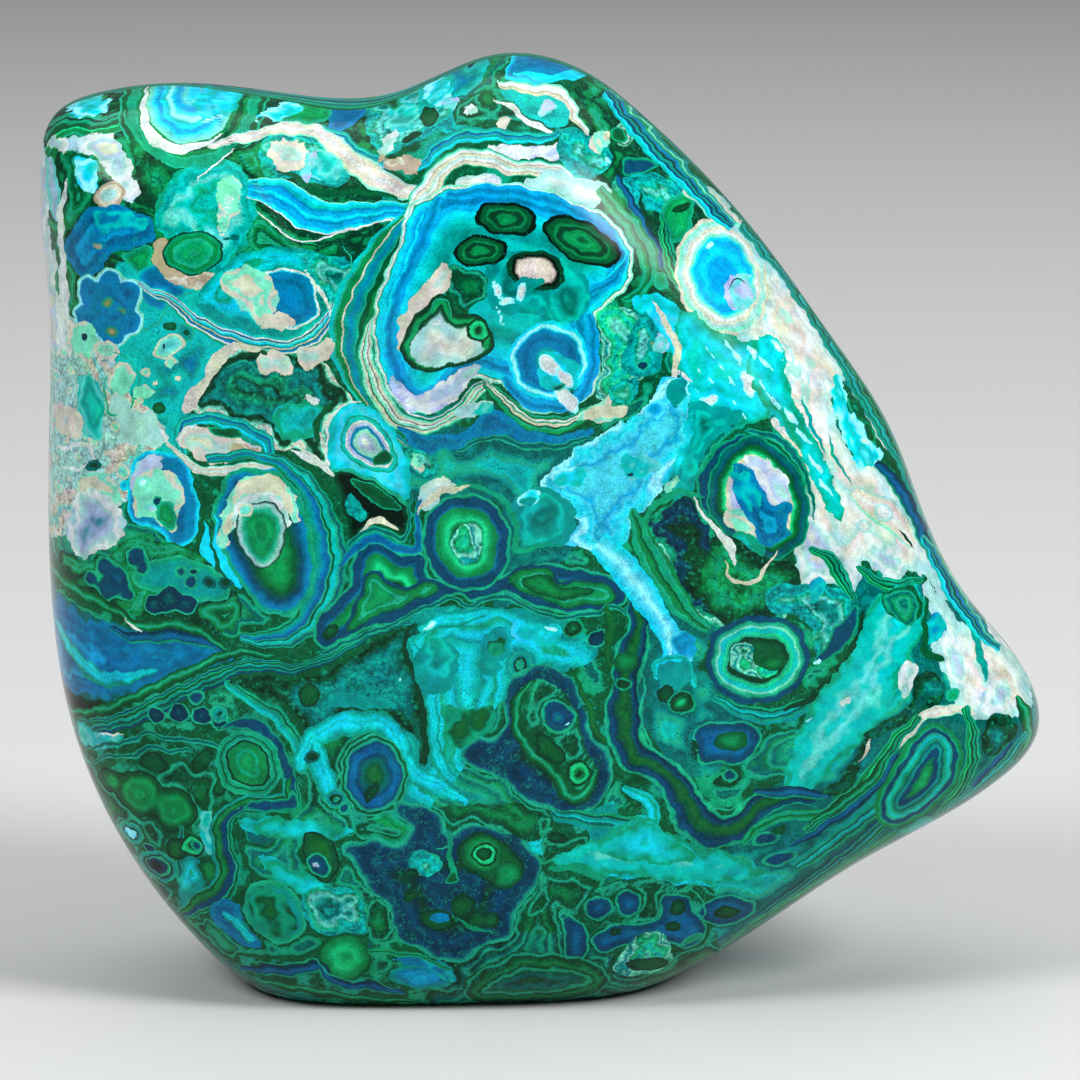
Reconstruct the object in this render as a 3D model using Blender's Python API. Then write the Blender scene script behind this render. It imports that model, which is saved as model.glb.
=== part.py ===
"""A polished azurite malachite freeform: one solid stone that stands on a small flat base.

Units are metres and +Z is up. The origin is the middle of the stone's box, on the plane it stands on.
The wide polished face looks towards -Y, and the long way of the stone runs along X.
"""

import math

import bmesh
import bpy
import numpy as np

MM = 0.001

# Driving dimensions
WIDTH = 120.0 * MM  # left side to the tip of the right nose
THICKNESS = 50.0 * MM  # front face to back face
HEART = (-5.0 * MM, 58.0 * MM)  # X and Z of the middle of the faces
SHOULDER_REACH = 31.0 * MM  # how far in from the rim the faces go on rising
FACE_FULLNESS = 2.2  # how roundly a face meets the rim, 2 is an ellipse
SHOULDER_SQUARE = 3.5  # mean squareness of the shoulder, 2 is an ellipse
SHOULDER_CHANGE = 1.0  # the right shoulder is softer than the left by twice this
SOFT_SIDE = math.radians(25.0)  # direction of the softest shoulder, up from +X

SEGMENTS = 96  # points round the rim
RINGS = 24  # bands from face to face
STEPS_PER_POINT = 40  # fine steps that measure the outline's length
SHARP_ANGLE = math.radians(35.0)  # only the edge of the base is sharper than this
ON_PLANE = 1e-6  # a point this near a plane is on it

# The stone seen from the front, in millimetres (X, Z), from the right nose up, over the top, down the
# left side, under the base and back along the sloping underside. The stretch below Z = 0 is cut away.
OUTLINE_MM = [
    (60.1, 31.6), (58.4, 37.8), (52.0, 45.9), (46.1, 56.6), (41.7, 67.6), (34.7, 78.4), (25.3, 91.2),
    (10.9, 105.9), (5.2, 110.1), (-5.6, 112.3), (-12.0, 110.1), (-19.2, 107.4), (-28.5, 107.3),
    (-40.0, 108.7), (-52.9, 107.8), (-58.3, 105.3), (-60.0, 99.5), (-59.3, 85.0), (-59.5, 66.0),
    (-59.5, 49.0), (-57.1, 31.8), (-51.8, 18.8), (-42.9, 6.2), (-34.0, -1.2), (-22.0, -3.9),
    (-8.0, -3.6), (8.5, -2.0), (22.4, 4.3), (38.6, 15.0), (54.8, 24.7),
]

# Broad swells and dips left by hand polishing, in millimetres: X, Z, radius and height.
FRONT_SWELLS_MM = [
    (-4.0, 88.0, 17.0, 1.6), (-44.0, 92.0, 15.0, 0.9), (27.0, 66.0, 18.0, 1.4), (-36.0, 50.0, 20.0, 0.8),
    (4.0, 34.0, 18.0, 1.0), (-38.0, 24.0, 14.0, 0.9), (-20.0, 68.0, 12.0, -0.9), (36.0, 34.0, 14.0, -1.0),
    (14.0, 56.0, 11.0, -0.8), (-26.0, 102.0, 10.0, -0.8),
]
BACK_SWELLS_MM = [
    (-30.0, 86.0, 22.0, 1.5), (20.0, 48.0, 24.0, 1.2), (-34.0, 38.0, 18.0, -1.4), (2.0, 84.0, 14.0, -0.9),
    (38.0, 40.0, 12.0, 0.8), (-8.0, 24.0, 16.0, 0.9),
]


def closed_spline(points, count):
    """A closed cubic through the points, bending evenly at each, read at count even steps of length."""
    points = np.array(points)
    number = len(points)
    gaps = np.linalg.norm(np.roll(points, -1, axis=0) - points, axis=1)
    system = np.zeros((number, number))
    change = np.zeros_like(points)
    for i in range(number):
        after = (i + 1) % number
        system[i, i - 1] += gaps[i - 1]
        system[i, i] += 2 * (gaps[i - 1] + gaps[i])
        system[i, after] += gaps[i]
        rise = (points[after] - points[i]) / gaps[i]
        fall = (points[i] - points[i - 1]) / gaps[i - 1]
        change[i] = 6 * (rise - fall)
    bend = np.linalg.solve(system, change)
    knots = np.concatenate([[0.0], np.cumsum(gaps)])

    def read(length):
        i = np.clip(np.searchsorted(knots, length, side="right") - 1, 0, number - 1)
        after = (i + 1) % number
        gap = gaps[i][:, None]
        b = (length - knots[i])[:, None] / gap
        a = 1 - b
        curve = (a**3 - a) * bend[i] + (b**3 - b) * bend[after]
        return a * points[i] + b * points[after] + curve * gap**2 / 6

    fine = np.linspace(0, knots[-1], STEPS_PER_POINT * number)
    steps = np.linalg.norm(np.diff(read(fine), axis=0), axis=1)
    walked = np.concatenate([[0.0], np.cumsum(steps)])
    even = np.linspace(0, walked[-1], count, endpoint=False)
    return read(np.interp(even, walked, fine))


def swell(x, z, swells_mm):
    """The sum of round humps, each a bell curve of its own radius and height."""
    rise = np.zeros_like(x)
    for centre_x, centre_z, radius, height in np.array(swells_mm) * MM:
        rise += height * np.exp(-((x - centre_x) ** 2 + (z - centre_z) ** 2) / radius**2)
    return rise


def depth_in(x, z, rim):
    """How far in from the rim a point is, without a crease where two sides of the rim are equally near.

    It is the square root of 2 over the sum, along the rim, of 1 / distance**3. Beside a straight rim that
    is the distance itself, and in the middle every side counts.
    """
    total = np.zeros_like(x)
    for start, end in zip(rim, np.roll(rim, -1, axis=0)):
        length = np.linalg.norm(end - start)
        along_x, along_z = (end - start) / length
        before = (start[0] - x) * along_x + (start[1] - z) * along_z
        beside = (start[0] - x) * along_z - (start[1] - z) * along_x
        square = beside**2 + ON_PLANE**2
        after = before + length
        total += (after / np.sqrt(square + after**2) - before / np.sqrt(square + before**2)) / square
    return np.sqrt(2 / total)


def stone_points(ball):
    """Carries points of a unit ball, poles along Y, to the stone.

    A point's turn about Y picks a place on the outline, and its distance from the ball's axis sets how
    far it has gone from the heart to that place. The faces then rise from the rim by
    near**square + (height/half)**fullness = 1, where near is 1 at the rim and 0 from the reach inwards.
    """
    rim = closed_spline(np.array(OUTLINE_MM) * MM, SEGMENTS)
    turn = np.arctan2(ball[:, 2], ball[:, 0]) / (2 * math.pi)
    reach = rim[np.rint(turn * SEGMENTS).astype(int) % SEGMENTS] - np.array(HEART)
    facing = np.arctan2(reach[:, 1], reach[:, 0]) - SOFT_SIDE
    square = SHOULDER_SQUARE - SHOULDER_CHANGE * np.cos(facing)
    far = np.clip(np.hypot(ball[:, 0], ball[:, 2]), 0, 1) ** (2 / square)
    x = HEART[0] + far * reach[:, 0]
    z = HEART[1] + far * reach[:, 1]
    near = np.clip(1 - depth_in(x, z, rim) / SHOULDER_REACH, 0, 1)
    height = (1 - near**square) ** (1 / FACE_FULLNESS)
    side = np.sign(np.where(np.abs(ball[:, 1]) < ON_PLANE, 0, ball[:, 1]))
    relief = np.where(side < 0, swell(x, z, FRONT_SWELLS_MM), swell(x, z, BACK_SWELLS_MM))
    return np.stack([x, side * height * (THICKNESS / 2 + relief), z], axis=1)


def cut_flat(bm):
    """Removes what is below Z = 0 and closes the cut with one flat face."""
    everything = bm.verts[:] + bm.edges[:] + bm.faces[:]
    cut = bmesh.ops.bisect_plane(
        bm, geom=everything, dist=ON_PLANE, plane_co=(0, 0, 0), plane_no=(0, 0, -1), clear_outer=True
    )
    rim = [piece for piece in cut["geom_cut"] if isinstance(piece, bmesh.types.BMEdge)]
    bmesh.ops.contextual_create(bm, geom=rim)
    for vert in bm.verts:
        if abs(vert.co.z) < ON_PLANE:
            vert.co.z = 0.0


def fit_box(bm):
    """Brings the stone to its width and thickness, centred over the origin."""
    points = np.array([vert.co for vert in bm.verts])
    low, high = points.min(axis=0), points.max(axis=0)
    middle = (low + high) / 2
    stretch_x = WIDTH / (high[0] - low[0])
    stretch_y = THICKNESS / (high[1] - low[1])
    for vert in bm.verts:
        vert.co.x = (vert.co.x - middle[0]) * stretch_x
        vert.co.y = (vert.co.y - middle[1]) * stretch_y


def stone_material():
    """Polished blue-green stone."""
    colour = (0.01, 0.27, 0.26, 1.0)
    material = bpy.data.materials.new("polished_azurite_malachite")
    material.use_nodes = True
    shader = material.node_tree.nodes["Principled BSDF"]
    shader.inputs["Base Color"].default_value = colour
    shader.inputs["Roughness"].default_value = 0.12
    shader.inputs["Metallic"].default_value = 0.0
    material.diffuse_color = colour
    return material


def make_stone():
    """Makes the stone from a ball whose poles lie on the two faces."""
    bm = bmesh.new()
    bmesh.ops.create_uvsphere(bm, u_segments=SEGMENTS, v_segments=RINGS, radius=1.0)
    ball = np.array([vert.co for vert in bm.verts])
    # The ball's poles are turned from Z to Y, so that its lower pole becomes the front face.
    turned = np.stack([ball[:, 0], ball[:, 2], -ball[:, 1]], axis=1)
    for vert, point in zip(bm.verts, stone_points(turned)):
        vert.co = point
    cut_flat(bm)
    fit_box(bm)
    bmesh.ops.recalc_face_normals(bm, faces=bm.faces[:])
    mesh = bpy.data.meshes.new("stone")
    bm.to_mesh(mesh)
    bm.free()
    mesh.shade_smooth()
    mesh.set_sharp_from_angle(angle=SHARP_ANGLE)
    mesh.materials.append(stone_material())
    stone = bpy.data.objects.new("stone", mesh)
    bpy.context.scene.collection.objects.link(stone)


for old in list(bpy.data.objects):
    bpy.data.objects.remove(old, do_unlink=True)

make_stone()
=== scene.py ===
import math

import bpy
import numpy as np
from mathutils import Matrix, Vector


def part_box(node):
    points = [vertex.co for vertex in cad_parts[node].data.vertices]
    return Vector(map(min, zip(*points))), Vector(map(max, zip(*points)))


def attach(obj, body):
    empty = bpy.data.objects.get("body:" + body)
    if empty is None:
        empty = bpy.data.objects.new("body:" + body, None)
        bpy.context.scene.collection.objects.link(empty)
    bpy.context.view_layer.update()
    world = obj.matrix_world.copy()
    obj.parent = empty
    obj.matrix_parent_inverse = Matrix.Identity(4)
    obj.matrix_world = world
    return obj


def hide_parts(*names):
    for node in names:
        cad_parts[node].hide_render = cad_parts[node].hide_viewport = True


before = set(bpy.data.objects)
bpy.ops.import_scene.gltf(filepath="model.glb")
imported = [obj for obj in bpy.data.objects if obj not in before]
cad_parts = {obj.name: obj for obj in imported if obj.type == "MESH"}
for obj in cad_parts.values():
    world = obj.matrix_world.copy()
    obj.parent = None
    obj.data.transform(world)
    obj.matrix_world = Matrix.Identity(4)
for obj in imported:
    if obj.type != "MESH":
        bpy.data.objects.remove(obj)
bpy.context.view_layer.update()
mm = 0.001      # lengths below are in millimetres, and the mesh is in metres

stoneShape = {
    "outline": [    # x and z of the widest section, round from the right nose and over the top
        (60.1, 31.6), (58.4, 37.8), (52.0, 45.9), (46.1, 56.6), (41.7, 67.6), (34.7, 78.4),
        (25.3, 91.2), (10.9, 105.9), (5.2, 110.1), (-5.6, 112.3), (-12.0, 110.1), (-19.2, 107.4),
        (-28.5, 107.3), (-40.0, 108.7), (-52.9, 107.8), (-58.3, 105.3), (-60.0, 99.5),
        (-59.3, 85.0), (-59.5, 66.0), (-59.5, 49.0), (-57.1, 31.8), (-51.8, 18.8), (-42.9, 6.2),
        (-34.0, -1.2), (-22.0, -3.9), (-8.0, -3.6), (8.5, -2.0), (22.4, 4.3), (38.6, 15.0),
        (54.8, 24.7),
    ],
    "heart": (-5.0, 58.0),          # the point that the rings of the mesh close on
    "thickness": 50.0,
    "shoulderReach": 31.0,          # how far in from the rim the face goes on rising
    "faceFullness": 2.2,
    "shoulderSquare": (3.5, 1.0),   # the shoulder's exponent, and how much it changes round the rim
    "softSide": math.radians(25),   # the direction of the softest shoulder
    "frontSwells": [                # x, z, radius and height of each soft rise or dip
        (-4, 88, 17, 1.6), (-44, 92, 15, 0.9), (27, 66, 18, 1.4), (-36, 50, 20, 0.8),
        (4, 34, 18, 1.0), (-38, 24, 14, 0.9), (-20, 68, 12, -0.9), (36, 34, 14, -1.0),
        (14, 56, 11, -0.8), (-26, 102, 10, -0.8),
    ],
    "backSwells": [
        (-30, 86, 22, 1.5), (20, 48, 24, 1.2), (-34, 38, 18, -1.4), (2, 84, 14, -0.9),
        (38, 40, 12, 0.8), (-8, 24, 16, 0.9),
    ],
    "rimPoints": 1120,              # eight to each front ring
    "frontRings": 140,
    "backRings": 70,
    "rays": 112,                    # lines from the heart to the rim along which the rings are spaced
    "baseRound": 0.8,               # radius of the edge where the flat base was ground
}


def closedSpline(points, count):
    # A periodic cubic whose knots are spaced by chord length, read at even steps of arc length.
    points = np.array(points, float)
    total = len(points)
    step = np.linalg.norm(np.roll(points, -1, axis=0) - points, axis=1)
    before = np.roll(step, 1)
    slope = (np.roll(points, -1, axis=0) - points) / step[:, None]
    matrix = np.zeros((total, total))
    row = np.arange(total)
    matrix[row, row] = 2 * (before + step)
    matrix[row, (row - 1) % total] = before
    matrix[row, (row + 1) % total] = step
    bend = np.linalg.solve(matrix, 6 * (slope - np.roll(slope, 1, axis=0)))
    fine = 60
    part = np.tile(np.arange(fine) / fine, total)[:, None]
    span = np.repeat(row, fine)
    width = step[span][:, None]
    here, there = points[span], points[(span + 1) % total]
    bendHere, bendThere = bend[span], bend[(span + 1) % total]
    curve = (1 - part) * here + part * there
    curve += width**2 / 6 * (((1 - part) ** 3 - (1 - part)) * bendHere + (part**3 - part) * bendThere)
    length = np.linalg.norm(np.roll(curve, -1, axis=0) - curve, axis=1)
    along = np.concatenate([[0], np.cumsum(length)])
    wrapped = np.vstack([curve, curve[:1]])
    even = np.linspace(0, along[-1], count, endpoint=False)
    return np.column_stack([np.interp(even, along, wrapped[:, axis]) for axis in (0, 1)])


batch = 4000        # points worked out at a time


def depthIn(x, z, rim):
    # A soft distance to the rim: each stretch of rim adds the integral of 1 / distance cubed along it. The
    # square root of 2 over the sum is the distance near the rim and a smooth dome further in.
    run = np.roll(rim, -1, axis=0) - rim
    length = np.linalg.norm(run, axis=1)
    way = run / length[:, None]
    result = np.empty(len(x))
    for first in range(0, len(x), batch):
        some = slice(first, first + batch)
        offX = x[some, None] - rim[None, :, 0]
        offZ = z[some, None] - rim[None, :, 1]
        after = offX * way[:, 0] + offZ * way[:, 1]
        beside = (offX * way[:, 1] - offZ * way[:, 0]) ** 2 + 1e-12
        before = after - length
        pull = (after / np.sqrt(beside + after**2) - before / np.sqrt(beside + before**2)) / beside
        result[some] = np.sqrt(2 / np.maximum(pull.sum(axis=1), 1e-12))
    return result


def faceHeight(x, z, rim, swells):
    # How far the face stands from the middle plane: half the thickness plus its swells, times a dome, which
    # is (1 - (1 - depth / reach) to the shoulder's power) to the power of 1 / fullness.
    shape = stoneShape
    heartX, heartZ = shape["heart"]
    middle, change = shape["shoulderSquare"]
    square = middle - change * np.cos(np.arctan2(z - heartZ, x - heartX) - shape["softSide"])
    near = np.clip(1 - depthIn(x, z, rim) / shape["shoulderReach"], 0, 1)
    dome = (1 - near**square) ** (1 / shape["faceFullness"])
    rise = sum(tall * np.exp(-((x - sx) ** 2 + (z - sz) ** 2) / reach**2) for sx, sz, reach, tall in swells)
    return dome * (shape["thickness"] / 2 + rise)


def ringFractions(rim, swells, steps, parts):
    # For each ray from the heart to the rim: the fractions at which equal lengths of its face are passed.
    heart, rays = np.array(stoneShape["heart"]), stoneShape["rays"]
    ends = rim[np.arange(rays) * len(rim) // rays]
    fine = 1 - (1 - np.linspace(0, 1, 260)) ** 2
    x = heart[0] + fine[None, :] * (ends[:, :1] - heart[0])
    z = heart[1] + fine[None, :] * (ends[:, 1:] - heart[1])
    y = faceHeight(x.ravel(), z.ravel(), rim, swells).reshape(x.shape)
    y[:, -1] = 0
    length = np.sqrt(np.diff(x) ** 2 + np.diff(y) ** 2 + np.diff(z) ** 2).cumsum(axis=1)
    length = np.hstack([np.zeros((rays, 1)), length])
    wanted = np.arange(steps + 1) / parts
    return np.array([np.interp(wanted * row[-1], row, fine) for row in length])


def faceGrid(rings, parts, rim, swells, side):
    # A square grid drawn out to the rim: square ring m carries 8m points, spaced evenly along the rim's
    # outline scaled towards the heart by that ring's fraction. Returns points, grid index and outer ring.
    across = np.arange(-rings, rings + 1)
    a, b = np.meshgrid(across, across, indexing="ij")
    m = np.maximum(abs(a), abs(b))
    place = np.where((a == m) & (b >= 0), b, 8 * m + b)
    place = np.where((b == -m) & (a < m), 6 * m + a, place)
    place = np.where((a == -m) & (b > -m), 4 * m - b, place)
    place = np.where((b == m) & (a > -m), 2 * m - a, place)
    turn = np.where(m > 0, (place % np.maximum(8 * m, 1)) / np.maximum(8 * m, 1), 0.0)
    rays = stoneShape["rays"]
    table = ringFractions(rim, swells, rings, parts)
    table = np.vstack([table, table[:1]])
    at = turn * rays
    ray = np.minimum(at.astype(int), rays - 1)
    part = at - ray
    fraction = table[ray, m] * (1 - part) + table[ray + 1, m] * part
    count = len(rim)
    spot = turn * count
    low = spot.astype(int) % count
    mix = (spot - np.floor(spot))[..., None]
    rimPoint = rim[low] * (1 - mix) + rim[(low + 1) % count] * mix
    heart = np.array(stoneShape["heart"])
    flat = heart + fraction[..., None] * (rimPoint - heart)
    x, z = flat[..., 0].ravel(), flat[..., 1].ravel()
    y = side * faceHeight(x, z, rim, swells)
    if parts == rings:
        y[(m == rings).ravel()] = 0
    points = np.column_stack([x, y, z])
    index = np.arange(a.size).reshape(a.shape)
    ring = np.empty(8 * rings, int)
    outer = m == rings
    ring[place[outer] % (8 * rings)] = index[outer]
    return points, index, ring


def quadHalves(index, turned):
    # Two triangles for each square of a grid, wound the other way when turned.
    corners = [index[:-1, :-1], index[1:, :-1], index[1:, 1:], index[:-1, 1:]]
    p, q, r, s = [corner.ravel() for corner in (corners[::-1] if turned else corners)]
    return np.vstack([np.column_stack([p, q, r]), np.column_stack([p, r, s])])


def stoneSurface():
    # Front and back face grids, joined along the rim by a strip with two front steps to each back step.
    shape = stoneShape
    rim = closedSpline(shape["outline"], shape["rimPoints"])
    front, frontIndex, frontRing = faceGrid(
        shape["frontRings"], shape["frontRings"], rim, shape["frontSwells"], -1)
    back, backIndex, backRing = faceGrid(
        shape["backRings"], shape["backRings"] + 1, rim, shape["backSwells"], 1)
    backRing = backRing + len(front)
    f0, f1, f2 = frontRing[0::2], frontRing[1::2], np.roll(frontRing[0::2], -1)
    b0, b1 = backRing, np.roll(backRing, -1)
    strip = np.vstack([np.column_stack(side) for side in ((f0, b0, f1), (f1, b0, b1), (f1, b1, f2))])
    points = np.vstack([front, back])
    frontFaces = quadHalves(frontIndex, False)
    backFaces = np.vstack([quadHalves(backIndex + len(front), True), strip])
    soft = shape["baseRound"]
    z = points[:, 2]
    points[:, 2] = np.where(z > soft, z, np.where(z < -soft, 0, (z + soft) ** 2 / (4 * soft)))
    low, high = [np.array(corner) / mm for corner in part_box("stone")]
    least, most = points.min(axis=0), points.max(axis=0)
    return (points - least) / (most - least) * (high - low) + low, frontFaces, backFaces


# A layer is one grown cell or flow of the stone: (kind, box it can reach, function of points giving cover
# and band). Cover is above 0 where the layer shows. Band is the depth in mm under a cell's edge, and across
# a flow it runs from -1 on the right bank to 1 on the left bank of the way it goes.
laying = {
    "slots": 4,             # layers kept over each face
    "reach": 1.0,           # mm past its outline that a layer is worked out
    "fringe": 0.3,          # mm past its outline that a layer still counts
    "hides": 0.35,          # mm inside its outline from which a layer hides those under it
    "bank": 0.7,            # mm past a flow's banks that its cover ends
    "flowFringe": 1.25,     # band past which a flow doesn't count
    "flowHides": 0.8,       # band within which it hides what is under it
    "haloReach": 7.0,       # mm that the growth rings round a cell or flow go on outside it
    "haloJoin": 3.0,        # how sharply the rings of two neighbours meet, per mm
    "haloInside": 1.5,      # mm inside a cell to which its rings are counted
    "lobeJoin": 4,          # how sharply the lobes of a cluster meet, per mm
}


def eye(kind, x, z, halfLong, halfWide, tilt=0.0, stretch=1.0):
    # An ellipse: depth is (1 - distance out in units of the rim) times the smaller half width. Its bands
    # narrow as stretch grows.
    cos, sin = math.cos(math.radians(tilt)), math.sin(math.radians(tilt))

    def measure(px, py, pz):
        along = (px - x) * cos + (pz - z) * sin
        beside = (pz - z) * cos - (px - x) * sin
        cover = (1 - np.sqrt((along / halfLong) ** 2 + (beside / halfWide) ** 2)) * min(halfWide, halfLong)
        return cover, cover * stretch

    reach = max(halfLong, halfWide) + laying["reach"]
    return kind, (x - reach, x + reach, z - reach, z + reach), measure


def cluster(kind, rounds):
    # Round lobes grown together: the softly joined largest of radius - distance.
    rounds = np.array(rounds)
    lobeJoin = laying["lobeJoin"]

    def measure(px, py, pz):
        depth = [r - np.hypot(px - x, pz - z) for x, z, r in rounds]
        cover = np.log(sum(np.exp(np.minimum(one * lobeJoin, 60)) for one in depth)) / lobeJoin
        return cover, cover

    low = (rounds[:, :2] - rounds[:, 2:]).min(axis=0) - laying["reach"]
    high = (rounds[:, :2] + rounds[:, 2:]).max(axis=0) + laying["reach"]
    return kind, (low[0], high[0], low[1], high[1]), measure


def smoothLine(points, closed):
    # A curve through the points: Catmull-Rom pieces, each read at six even steps.
    points = np.array(points)
    if closed:
        padded = np.vstack([points[-1:], points, points[:2]])
    else:
        padded = np.vstack([2 * points[:1] - points[1:2], points, 2 * points[-1:] - points[-2:-1]])
    t = np.linspace(0, 1, 7)[:-1, None, None]
    a, b, c, d = padded[:-3], padded[1:-2], padded[2:-1], padded[3:]
    piece = 0.5 * (2 * b + (c - a) * t + (2 * a - 5 * b + 4 * c - d) * t**2
                   + (3 * b - a - 3 * c + d) * t**3)
    line = piece.transpose(1, 0, 2).reshape(-1, points.shape[1])
    return line if closed else np.vstack([line, points[-1:]])


def nearestOn(px, pz, start, end):
    # For each point: distance to the nearest segment, which one it is, how far along it, and its side.
    run = end - start
    square = np.maximum((run**2).sum(axis=1), 1e-12)
    offX, offZ = px[:, None] - start[:, 0], pz[:, None] - start[:, 1]
    along = np.clip((offX * run[:, 0] + offZ * run[:, 1]) / square, 0, 1)
    distance = np.hypot(offX - along * run[:, 0], offZ - along * run[:, 1])
    best = distance.argmin(axis=1)
    row = np.arange(len(px))
    side = np.sign(run[best, 0] * offZ[row, best] - run[best, 1] * offX[row, best])
    return distance[row, best], best, along[row, best], side, offX[row, best], offZ[row, best], run[best]


def patch(kind, corners, smooth=True):
    # A closed outline: depth is the distance to it, above 0 inside.
    line = smoothLine(corners, True) if smooth else np.array(corners)
    ends = np.roll(line, -1, axis=0)

    def measure(px, py, pz):
        cover = np.empty(len(px))
        for first in range(0, len(px), batch):
            some = slice(first, first + batch)
            x, z = px[some], pz[some]
            distance = nearestOn(x, z, line, ends)[0]
            above = (line[:, 1] > z[:, None]) != (ends[:, 1] > z[:, None])
            rise = np.where(ends[:, 1] == line[:, 1], 1e-9, ends[:, 1] - line[:, 1])
            cross = line[:, 0] + (z[:, None] - line[:, 1]) * (ends[:, 0] - line[:, 0]) / rise
            inside = (above & (x[:, None] < cross)).sum(axis=1) % 2 == 1
            cover[some] = np.where(inside, distance, -distance)
        return cover, cover

    low, high = line.min(axis=0) - laying["reach"], line.max(axis=0) + laying["reach"]
    return kind, (low[0], high[0], low[1], high[1]), measure


def sharp(kind, corners):
    # A patch with straight sides.
    return patch(kind, corners, smooth=False)


def flow(kind, stations):
    # A band along a smooth line of x, z and half width: across is the side times distance over half width.
    line = smoothLine(stations, False)
    start, end = line[:-1], line[1:]
    last = len(start) - 1

    def measure(px, py, pz):
        distance, best, along, side, offX, offZ, run = nearestOn(px, pz, start[:, :2], end[:, :2])
        half = start[best, 2] + (end[best, 2] - start[best, 2]) * along
        across = np.clip(side * distance / np.maximum(half, 0.02), -9, 9)
        length = np.maximum(np.hypot(run[:, 0], run[:, 1]), 1e-9)
        past = (offX * run[:, 0] + offZ * run[:, 1]) / length
        beyond = np.where((best == 0) & (along == 0), -past, 0)
        beyond = np.where((best == last) & (along == 1), past - length, beyond)
        cover = np.minimum(half + laying["bank"] - distance, laying["hides"] - beyond)
        return cover, across

    wide = line[:, 2].max() + laying["reach"]
    low, high = line[:, :2].min(axis=0) - wide, line[:, :2].max(axis=0) + wide
    return kind, (low[0], high[0], low[1], high[1]), measure


shapes = {"patch": patch, "sharp": sharp, "flow": flow, "cluster": cluster}
flowKinds = {"girdle"}      # and every kind that a flow is drawn with


def grown(text):
    # Layers from lines that each give a shape, a kind and groups of numbers in mm. A group is a whole eye,
    # a corner of a patch, a station of a flow or a lobe of a cluster. A line set in goes on with the last.
    layers = []
    for line in text.replace("\n    ", " ").strip().split("\n"):
        if line.startswith("#"):
            continue
        shape, kind, *groups = line.split()
        groups = [[float(number) for number in group.split(",")] for group in groups]
        if shape == "eye":
            layers += [eye(kind, *group) for group in groups]
        else:
            layers.append(shapes[shape](kind, groups))
        if shape == "flow":
            flowKinds.add(kind)
    return layers


def knob(kind, x, y, z, radius):
    # A round lobe in space: depth is radius - distance, with a few shallow bulges.
    def measure(px, py, pz):
        far = np.sqrt((px - x) ** 2 + (py - y) ** 2 + (pz - z) ** 2)
        bulge = np.sin((px + 2 * x) * 1.9 / radius) * np.sin((pz - z + 2 * y) * 2.1 / radius)
        cover = radius * (1 + 0.14 * bulge) - far
        return cover, cover

    reach = radius * 1.2 + laying["reach"]
    return kind, (x - reach, x + reach, z - reach, z + reach), measure


def grainWarp(points):
    # A gentle waver of the growth, under a quarter of a millimetre, made of crossed sines.
    x, y, z = points.T
    px = x + 0.13 * np.sin(1.7 * z + 0.6 * y + 1.3 * np.sin(0.9 * x))
    pz = z + 0.13 * np.sin(1.6 * x - 0.7 * y + 1.2 * np.sin(1.1 * z))
    px += 0.08 * np.sin(3.9 * z - 2.1 * x + 1.1 * y)
    pz += 0.08 * np.sin(3.6 * x + 2.3 * z - 0.9 * y)
    return px, y, pz


def layFaces(points, faces, layers):
    # The uppermost layers over each face, as cover, band and kind at its corners. A face is full when a
    # layer covers it well inside its edge. Half is added to the kind of a flow. Halo kinds follow the
    # distance from whatever grew over them, joined softly: -log(sum of exp(-join * distance)) / join.
    slots, haloReach, haloJoin = laying["slots"], laying["haloReach"], laying["haloJoin"]
    px, py, pz = grainWarp(points)
    middleX, middleZ = px[faces].mean(axis=1), pz[faces].mean(axis=1)
    corner = np.zeros((slots, len(faces), 3, 3), np.float32)
    corner[..., 0] = -9
    filled = np.zeros(len(faces), int)
    total = np.full(len(points), math.exp(-haloJoin * haloReach))
    wider = haloReach - laying["reach"]
    order, pointOrder = np.argsort(middleX), np.argsort(px)
    sortedX, sortedPx = middleX[order], px[pointOrder]
    for number in range(len(layers) - 1, -1, -1):
        kind, box, measure = layers[number]
        near = order[np.searchsorted(sortedX, box[0]):np.searchsorted(sortedX, box[1])]
        near = near[(middleZ[near] > box[2]) & (middleZ[near] < box[3]) & (filled[near] < slots)]
        if len(near):
            used, index = np.unique(faces[near], return_inverse=True)
            index = index.reshape(-1, 3)
            cover, band = measure(px[used], py[used], pz[used])
            if kind in haloKinds:
                band = -np.log(total[used]) / haloJoin
                if number >= len(fields):
                    band = np.minimum(band, cover)
                band = np.maximum(band, 0)
            faceCover, faceBand = cover[index], band[index]
            shown = faceCover.max(axis=1) > -laying["fringe"]
            full = faceCover.min(axis=1) > laying["hides"]
            if kind in flowKinds:
                fringe = laying["flowFringe"]
                shown &= (faceBand.max(axis=1) > -fringe) & (faceBand.min(axis=1) < fringe)
                full &= abs(faceBand).max(axis=1) < laying["flowHides"]
            chosen = near[shown]
            place = filled[chosen]
            corner[place, chosen, :, 0] = faceCover[shown]
            corner[place, chosen, :, 1] = faceBand[shown]
            corner[place, chosen, :, 2] = kindNumber[kind] + (0.5 if kind in flowKinds else 0.0)
            filled[chosen] += 1
            filled[near[shown & full]] = slots
        if number >= len(fields) and kind not in calmKinds:
            ends = np.searchsorted(sortedPx, [box[0] - wider, box[1] + wider])
            around = pointOrder[ends[0]:ends[1]]
            around = around[(pz[around] > box[2] - wider) & (pz[around] < box[3] + wider)]
            cover = measure(px[around], py[around], pz[around])[0]
            total[around] += np.exp(haloJoin * np.clip(cover, -haloReach, laying["haloInside"]))
    return corner


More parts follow.
